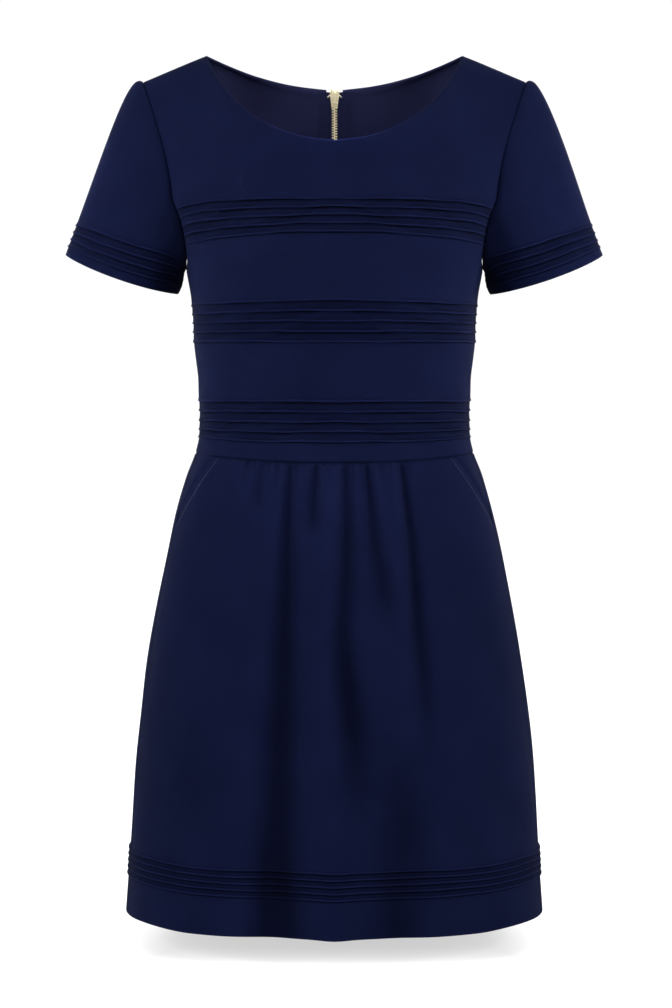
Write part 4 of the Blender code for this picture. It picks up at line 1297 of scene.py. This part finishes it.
def centreBack(x, height):
    x, height = np.broadcast_arrays(np.asarray(x, float), np.asarray(height, float))
    return bodicePoint(np.zeros(x.shape), height, "back", bodiceLook["neckShare"]["back"], x)


def zipSurface(x, height, look=zipLook):
    # Points of the centre back with the outward normals, which lean to no side at the chain
    x, height = np.broadcast_arrays(np.asarray(x, float), np.asarray(height, float))
    points, normals = skin(centreBack, x, height, (bodyForm["hem"], 1.0),
                           lambda points: np.array((0.0, 1.0, 0.0)))
    straight = unit(normals * np.array((0.0, 1.0, 1.0)))
    return points, np.where((x < look["chainHalf"])[..., None], straight, normals)


def yokeHeight(share):
    return bodyForm["yoke"] + share * (1.0 - bodyForm["yoke"])


def turnedTo(place, sideways, upward, outward):
    return Matrix.Translation(place) @ Matrix((sideways, upward, outward)).transposed().to_4x4()


def zipFrame(point, outside):
    # X sideways, Y up the chain, Z out of the back
    outside, sideways = Vector(outside).normalized(), Vector((-1.0, 0.0, 0.0))
    return turnedTo(Vector(point), sideways, outside.cross(sideways), outside)


def makeTape(look, name, node, side):
    yoke, end = bodyForm["yoke"], bodyForm["zipEnd"]
    heights = np.concatenate([np.linspace(yokeHeight(look["tapeTop"]), yoke, 30),
                              np.arange(yoke - 0.005, end, -0.005), [end]])[::-1, None]
    x = np.array(look["tapeLines"])[None, :]
    point, normal = zipSurface(x, heights)
    rib = sum(height * bell(x - place, 0.0005) for place, height in look["tapeRibs"])
    rimOut, rimIn = rimOffsets(np.minimum(x - x[0, 0], x[0, -1] - x), look["tapeThick"])
    outer = moved(point, normal, rimOut + rib - look["tapeDepth"])
    inner = moved(point, normal, rimIn - rib - look["tapeDepth"] - look["tapeThick"])
    item = makeWall(name, flipped(outer, side), flipped(inner, side), zipTape)
    return settle(item, node)


def addBox(bm, place, low, high):
    middle = Matrix.Translation([(a + b) / 2.0 for a, b in zip(low, high)])
    size = Matrix.Diagonal([b - a for a, b in zip(low, high)] + [1.0])
    bmesh.ops.create_cube(bm, size=1.0, matrix=place @ middle @ size)


def copiesOf(*groups):
    # Each template's form once at each of its places, in one new bmesh
    points, faces = [], []
    for template, places in groups:
        template.verts.index_update()
        corners = np.array([(*vert.co, 1.0) for vert in template.verts])
        loops = [[vert.index for vert in face.verts] for face in template.faces]
        template.free()
        for place in places:
            faces += [[index + len(points) for index in loop] for loop in loops]
            points += (corners @ np.array(place).T)[:, :3].tolist()
    mesh = bpy.data.meshes.new("copies")
    mesh.from_pydata(points, [], faces)
    bm = bmesh.new()
    bm.from_mesh(mesh)
    bpy.data.meshes.remove(mesh)
    return bm


def softenEdges(bm, offset, segments=1):
    sharp = [edge for edge in bm.edges
             if len(edge.link_faces) == 2 and edge.calc_face_angle() > 0.6]
    bmesh.ops.bevel(bm, geom=sharp, offset=offset, segments=segments, profile=0.5, affect="EDGES",
                    clamp_overlap=True, material=-1)


def makeTeeth(look, name, node, side):
    heights = np.concatenate([np.linspace(yokeHeight(look["chainTop"]), bodyForm["yoke"], 400),
                              np.linspace(bodyForm["yoke"], bodyForm["zipEnd"], 900)[1:]])
    point, normal = zipSurface(np.zeros(len(heights)), heights)
    point = point - normal * look["chainDepth"]
    run = runLength(point, 0)
    first = look["firstTooth"] + (0.0 if side > 0.0 else look["pitch"] / 2.0)
    tooth = bmesh.new()
    for low, high in look["tooth"]:
        addBox(tooth, Matrix.Diagonal((-side, 1.0, 1.0, 1.0)), low, high)
    softenEdges(tooth, look["toothBevel"])
    places = [zipFrame(pointOn(point, run, at), pointOn(normal, run, at))
              for at in np.arange(first, run[-1] - 0.004, look["pitch"])]
    groups = [(tooth, places)]
    if side > 0.0:
        stop = bmesh.new()
        addBox(stop, Matrix.Identity(4), *look["stop"])
        softenEdges(stop, look["stopBevel"])
        groups.append((stop, [zipFrame(point[-3], normal[-3])]))
    return settle(meshObject(name, copiesOf(*groups), lightGold, False), node)


sliderLook = dict(
    plates=((0.0016, 0.0026), (-0.0026, -0.0016)),
    # Shares of the width from one side to the other, with the upper and lower end there
    across=(-1.0, -0.84, -0.62, -0.34, 0.0, 0.34, 0.62, 0.84, 1.0),
    upper=(0.0100, 0.0118, 0.0144, 0.0108, 0.0122, 0.0108, 0.0144, 0.0118, 0.0100),
    lower=(-0.0054, -0.0064, -0.0067, -0.0067, -0.0067, -0.0067, -0.0067, -0.0064, -0.0054),
    # Half the width at shares of the length, from the lower end up
    halfWidth=((0.0, 0.0032), (0.25, 0.0035), (0.55, 0.0042), (0.8, 0.0048), (1.0, 0.0049)),
    # Ears on the inner plate, from its edge outwards and down: sideways, along, half width
    ear=((0.0042, 0.0088), (0.0074, 0.0056), 0.00062),
    post=((-0.0013, 0.0045, -0.0021), (0.0013, 0.0080, 0.0021)),
    # The bail from its upper foot over to its lower one: outer and inner line
    bailOuter=((0.0046, 0.0023), (0.0046, 0.0044), (0.0043, 0.0052), (0.0037, 0.0057),
               (0.0025, 0.0059), (-0.0012, 0.0059), (-0.0027, 0.0057), (-0.0034, 0.0051),
               (-0.0036, 0.0042), (-0.0036, 0.0023)),
    bailInner=((0.0037, 0.0023), (0.0037, 0.0043), (0.0036, 0.0047), (0.0033, 0.0050),
               (0.0023, 0.0051), (-0.0010, 0.0051), (-0.0023, 0.0050), (-0.0026, 0.0046),
               (-0.0027, 0.0040), (-0.0027, 0.0023)),
    bailHalf=0.0008,
    rail=0.0009,           # lips along both sides, turned in towards the chain
    bevel=0.00022,
)


def addSlab(bm, outer, inner, hole=None):
    # A closed slab between two grids of points, without the cells for which hole is true
    rows, columns = outer.shape[:2]
    old = set(bm.verts)
    bmesh.ops.create_grid(bm, x_segments=columns - 1, y_segments=rows - 1, size=1.0)
    made = [vert for vert in bm.verts if vert not in old]
    faces = list({face for vert in made for face in vert.link_faces})
    if hole is not None:
        cells = [face for face in faces
                 if hole[gridSpot(face.calc_center_median(), rows, columns, int)]]
        bmesh.ops.delete(bm, geom=cells, context="FACES")
        faces = [face for face in faces if face.is_valid]
        made = [vert for vert in made if vert.is_valid]
    spots = {vert: gridSpot(vert.co, rows, columns) for vert in made}
    raised = bmesh.ops.extrude_face_region(bm, geom=faces, use_keep_orig=True)
    for item in raised["geom"]:
        if isinstance(item, bmesh.types.BMVert):
            item.co = outer[gridSpot(item.co, rows, columns)]
    for vert, place in spots.items():
        vert.co = inner[place]


def finishMetal(bm, name, node, bevel, body):
    # The form is drawn in the slider's own frame
    softenEdges(bm, bevel, 2)
    bmesh.ops.transform(bm, matrix=sliderFrame, verts=list(bm.verts))
    item = meshObject(name, bm, lightGold)
    item.data.set_sharp_from_angle(angle=math.radians(40.0))
    return settle(item, node, body)


def makeSlider(look):
    bm = bmesh.new()
    share = np.linspace(0.0, 1.0, 9)[:, None]
    lower, upper = np.array(look["lower"]), np.array(look["upper"])
    run = lower + (upper - lower) * share
    levels, widths = zip(*look["halfWidth"])
    x = np.array(look["across"])[None, :] * np.interp(share, levels, widths)
    for near, far in look["plates"]:
        addSlab(bm, stack(x, run, far), stack(x, run, near))
        chainSide = near if near > 0.0 else far
        lip = chainSide - math.copysign(look["rail"], chainSide)
        for side in (0, -1):
            edge = np.stack([x[:7, side], x[:7, side] * 0.84], axis=1)
            line = run[:7, side, None]
            addSlab(bm, stack(edge, line, chainSide), stack(edge, line, lip))
    addBox(bm, Matrix.Identity(4), *look["post"])
    half = np.array((-1.0, 1.0))[None, :] * look["bailHalf"]
    addSlab(bm, *(stack(half, line[:, :1], line[:, 1:])
                  for line in (np.array(look["bailOuter"]), np.array(look["bailInner"]))))
    start, end, wide = look["ear"]
    slope = Vector((end[0] - start[0], end[1] - start[1]))
    for side in (-1.0, 1.0):
        turn = Matrix.Rotation(math.atan2(slope.y, side * slope.x), 4, "Z")
        place = Matrix.Translation((side * start[0], start[1], look["plates"][1][0])) @ turn
        addBox(bm, place, (0.0, -wide, 0.0), (slope.length, wide, 0.0010))
    return finishMetal(bm, "slider", "zip_slider", look["bevel"], "dress")


tabLook = dict(
    pin=(0.0005, 0.0037),  # along the chain and out of it
    halfThick=0.0005,
    # Rows from the pin down: distance from it, half width
    rows=((0.0005, 0.0021), (0.0, 0.0024), (-0.0006, 0.0024), (-0.0020, 0.0024),
          (-0.0038, 0.0024), (-0.0054, 0.0024), (-0.0062, 0.0023), (-0.0075, 0.0021),
          (-0.0090, 0.0021), (-0.0140, 0.0023), (-0.0190, 0.0025), (-0.0225, 0.0026),
          (-0.0240, 0.0026), (-0.0250, 0.0023), (-0.0257, 0.0017), (-0.0260, 0.0009)),
    across=(-1.0, -0.76, -0.5, -0.2, 0.2, 0.5, 0.76, 1.0),
    eye=(-0.0005, -0.0054, 0.55),      # of the eye: start, end, share of the width
    panel=(-0.0095, -0.0235, 0.60),    # of the sunk panel: start, end, share of the width
    sunk=0.00020,
    bevel=0.00016,
)


def makePullTab(look):
    bm = bmesh.new()
    run, half = np.array(look["rows"]).T
    across = np.array(look["across"])[None, :]
    x = across * half[:, None]
    middle = (run[:-1] + run[1:]) / 2.0
    eyeStart, eyeEnd, eyeShare = look["eye"]
    cells = (((middle < eyeStart) & (middle > eyeEnd))[:, None]
             & (np.abs(across[:, :-1] + across[:, 1:]) < 2.0 * eyeShare))
    start, end, wide = look["panel"]
    sunk = look["sunk"] * ((run[:, None] < start) & (run[:, None] > end) & (np.abs(across) < wide))
    foot, out = look["pin"]
    addSlab(bm, stack(x, foot + run[:, None], out + look["halfThick"] - sunk),
            stack(x, foot + run[:, None], out - look["halfThick"] + sunk), cells)
    return finishMetal(bm, "pullTab", "zip_pull_tab", look["bevel"], "pull_tab")


zipTapes = pairOf(makeTape, zipLook, "zipTape", "zip_tape")
pairOf(makeTeeth, zipLook, "zipTeeth", "zip_teeth")
sliderPoint, sliderOutside = zipSurface(np.zeros(1), yokeHeight(zipLook["sliderAt"]))
sliderFrame = zipFrame(sliderPoint[0] - sliderOutside[0] * zipLook["chainDepth"], sliderOutside[0])
makeSlider(sliderLook)
makePullTab(tabLook)
print("zip made")


# Stitches: rows beside the pockets' mouths and the zip

stitchLook = dict(
    pitch=0.0030,
    half=(0.00118, 0.00024, 0.00017),  # half of its length, width and height
    sunk=0.00004,
)


def makeStitches(look, name, lines):
    template = bmesh.new()
    bmesh.ops.create_uvsphere(template, u_segments=8, v_segments=6, radius=1.0,
                              matrix=Matrix.Rotation(math.pi / 2.0, 4, "Y"))
    size = Matrix.Diagonal((*look["half"], 1.0))
    places = []
    for line in lines:
        run = runLength(line, 0)
        for index in range(int(run[-1] / look["pitch"])):
            at = (index + 0.5) * look["pitch"]
            start, end = (Vector(pointOn(line, run, at + off * look["half"][0]))
                          for off in (-1.0, 1.0))
            middle, forward = (start + end) / 2.0, (end - start).normalized()
            sideways = Vector((middle.x, middle.y, 0.0)).cross(forward).normalized()
            outward = forward.cross(sideways)
            place = middle - outward * look["sunk"]
            places.append(turnedTo(place, forward, sideways, outward) @ size)
    return settle(meshObject(name, copiesOf((template, places)), sewingThread))


stitches = {name: makeStitches(stitchLook, name, lines) for name, lines in stitchLines.items()}
print("stitches made")
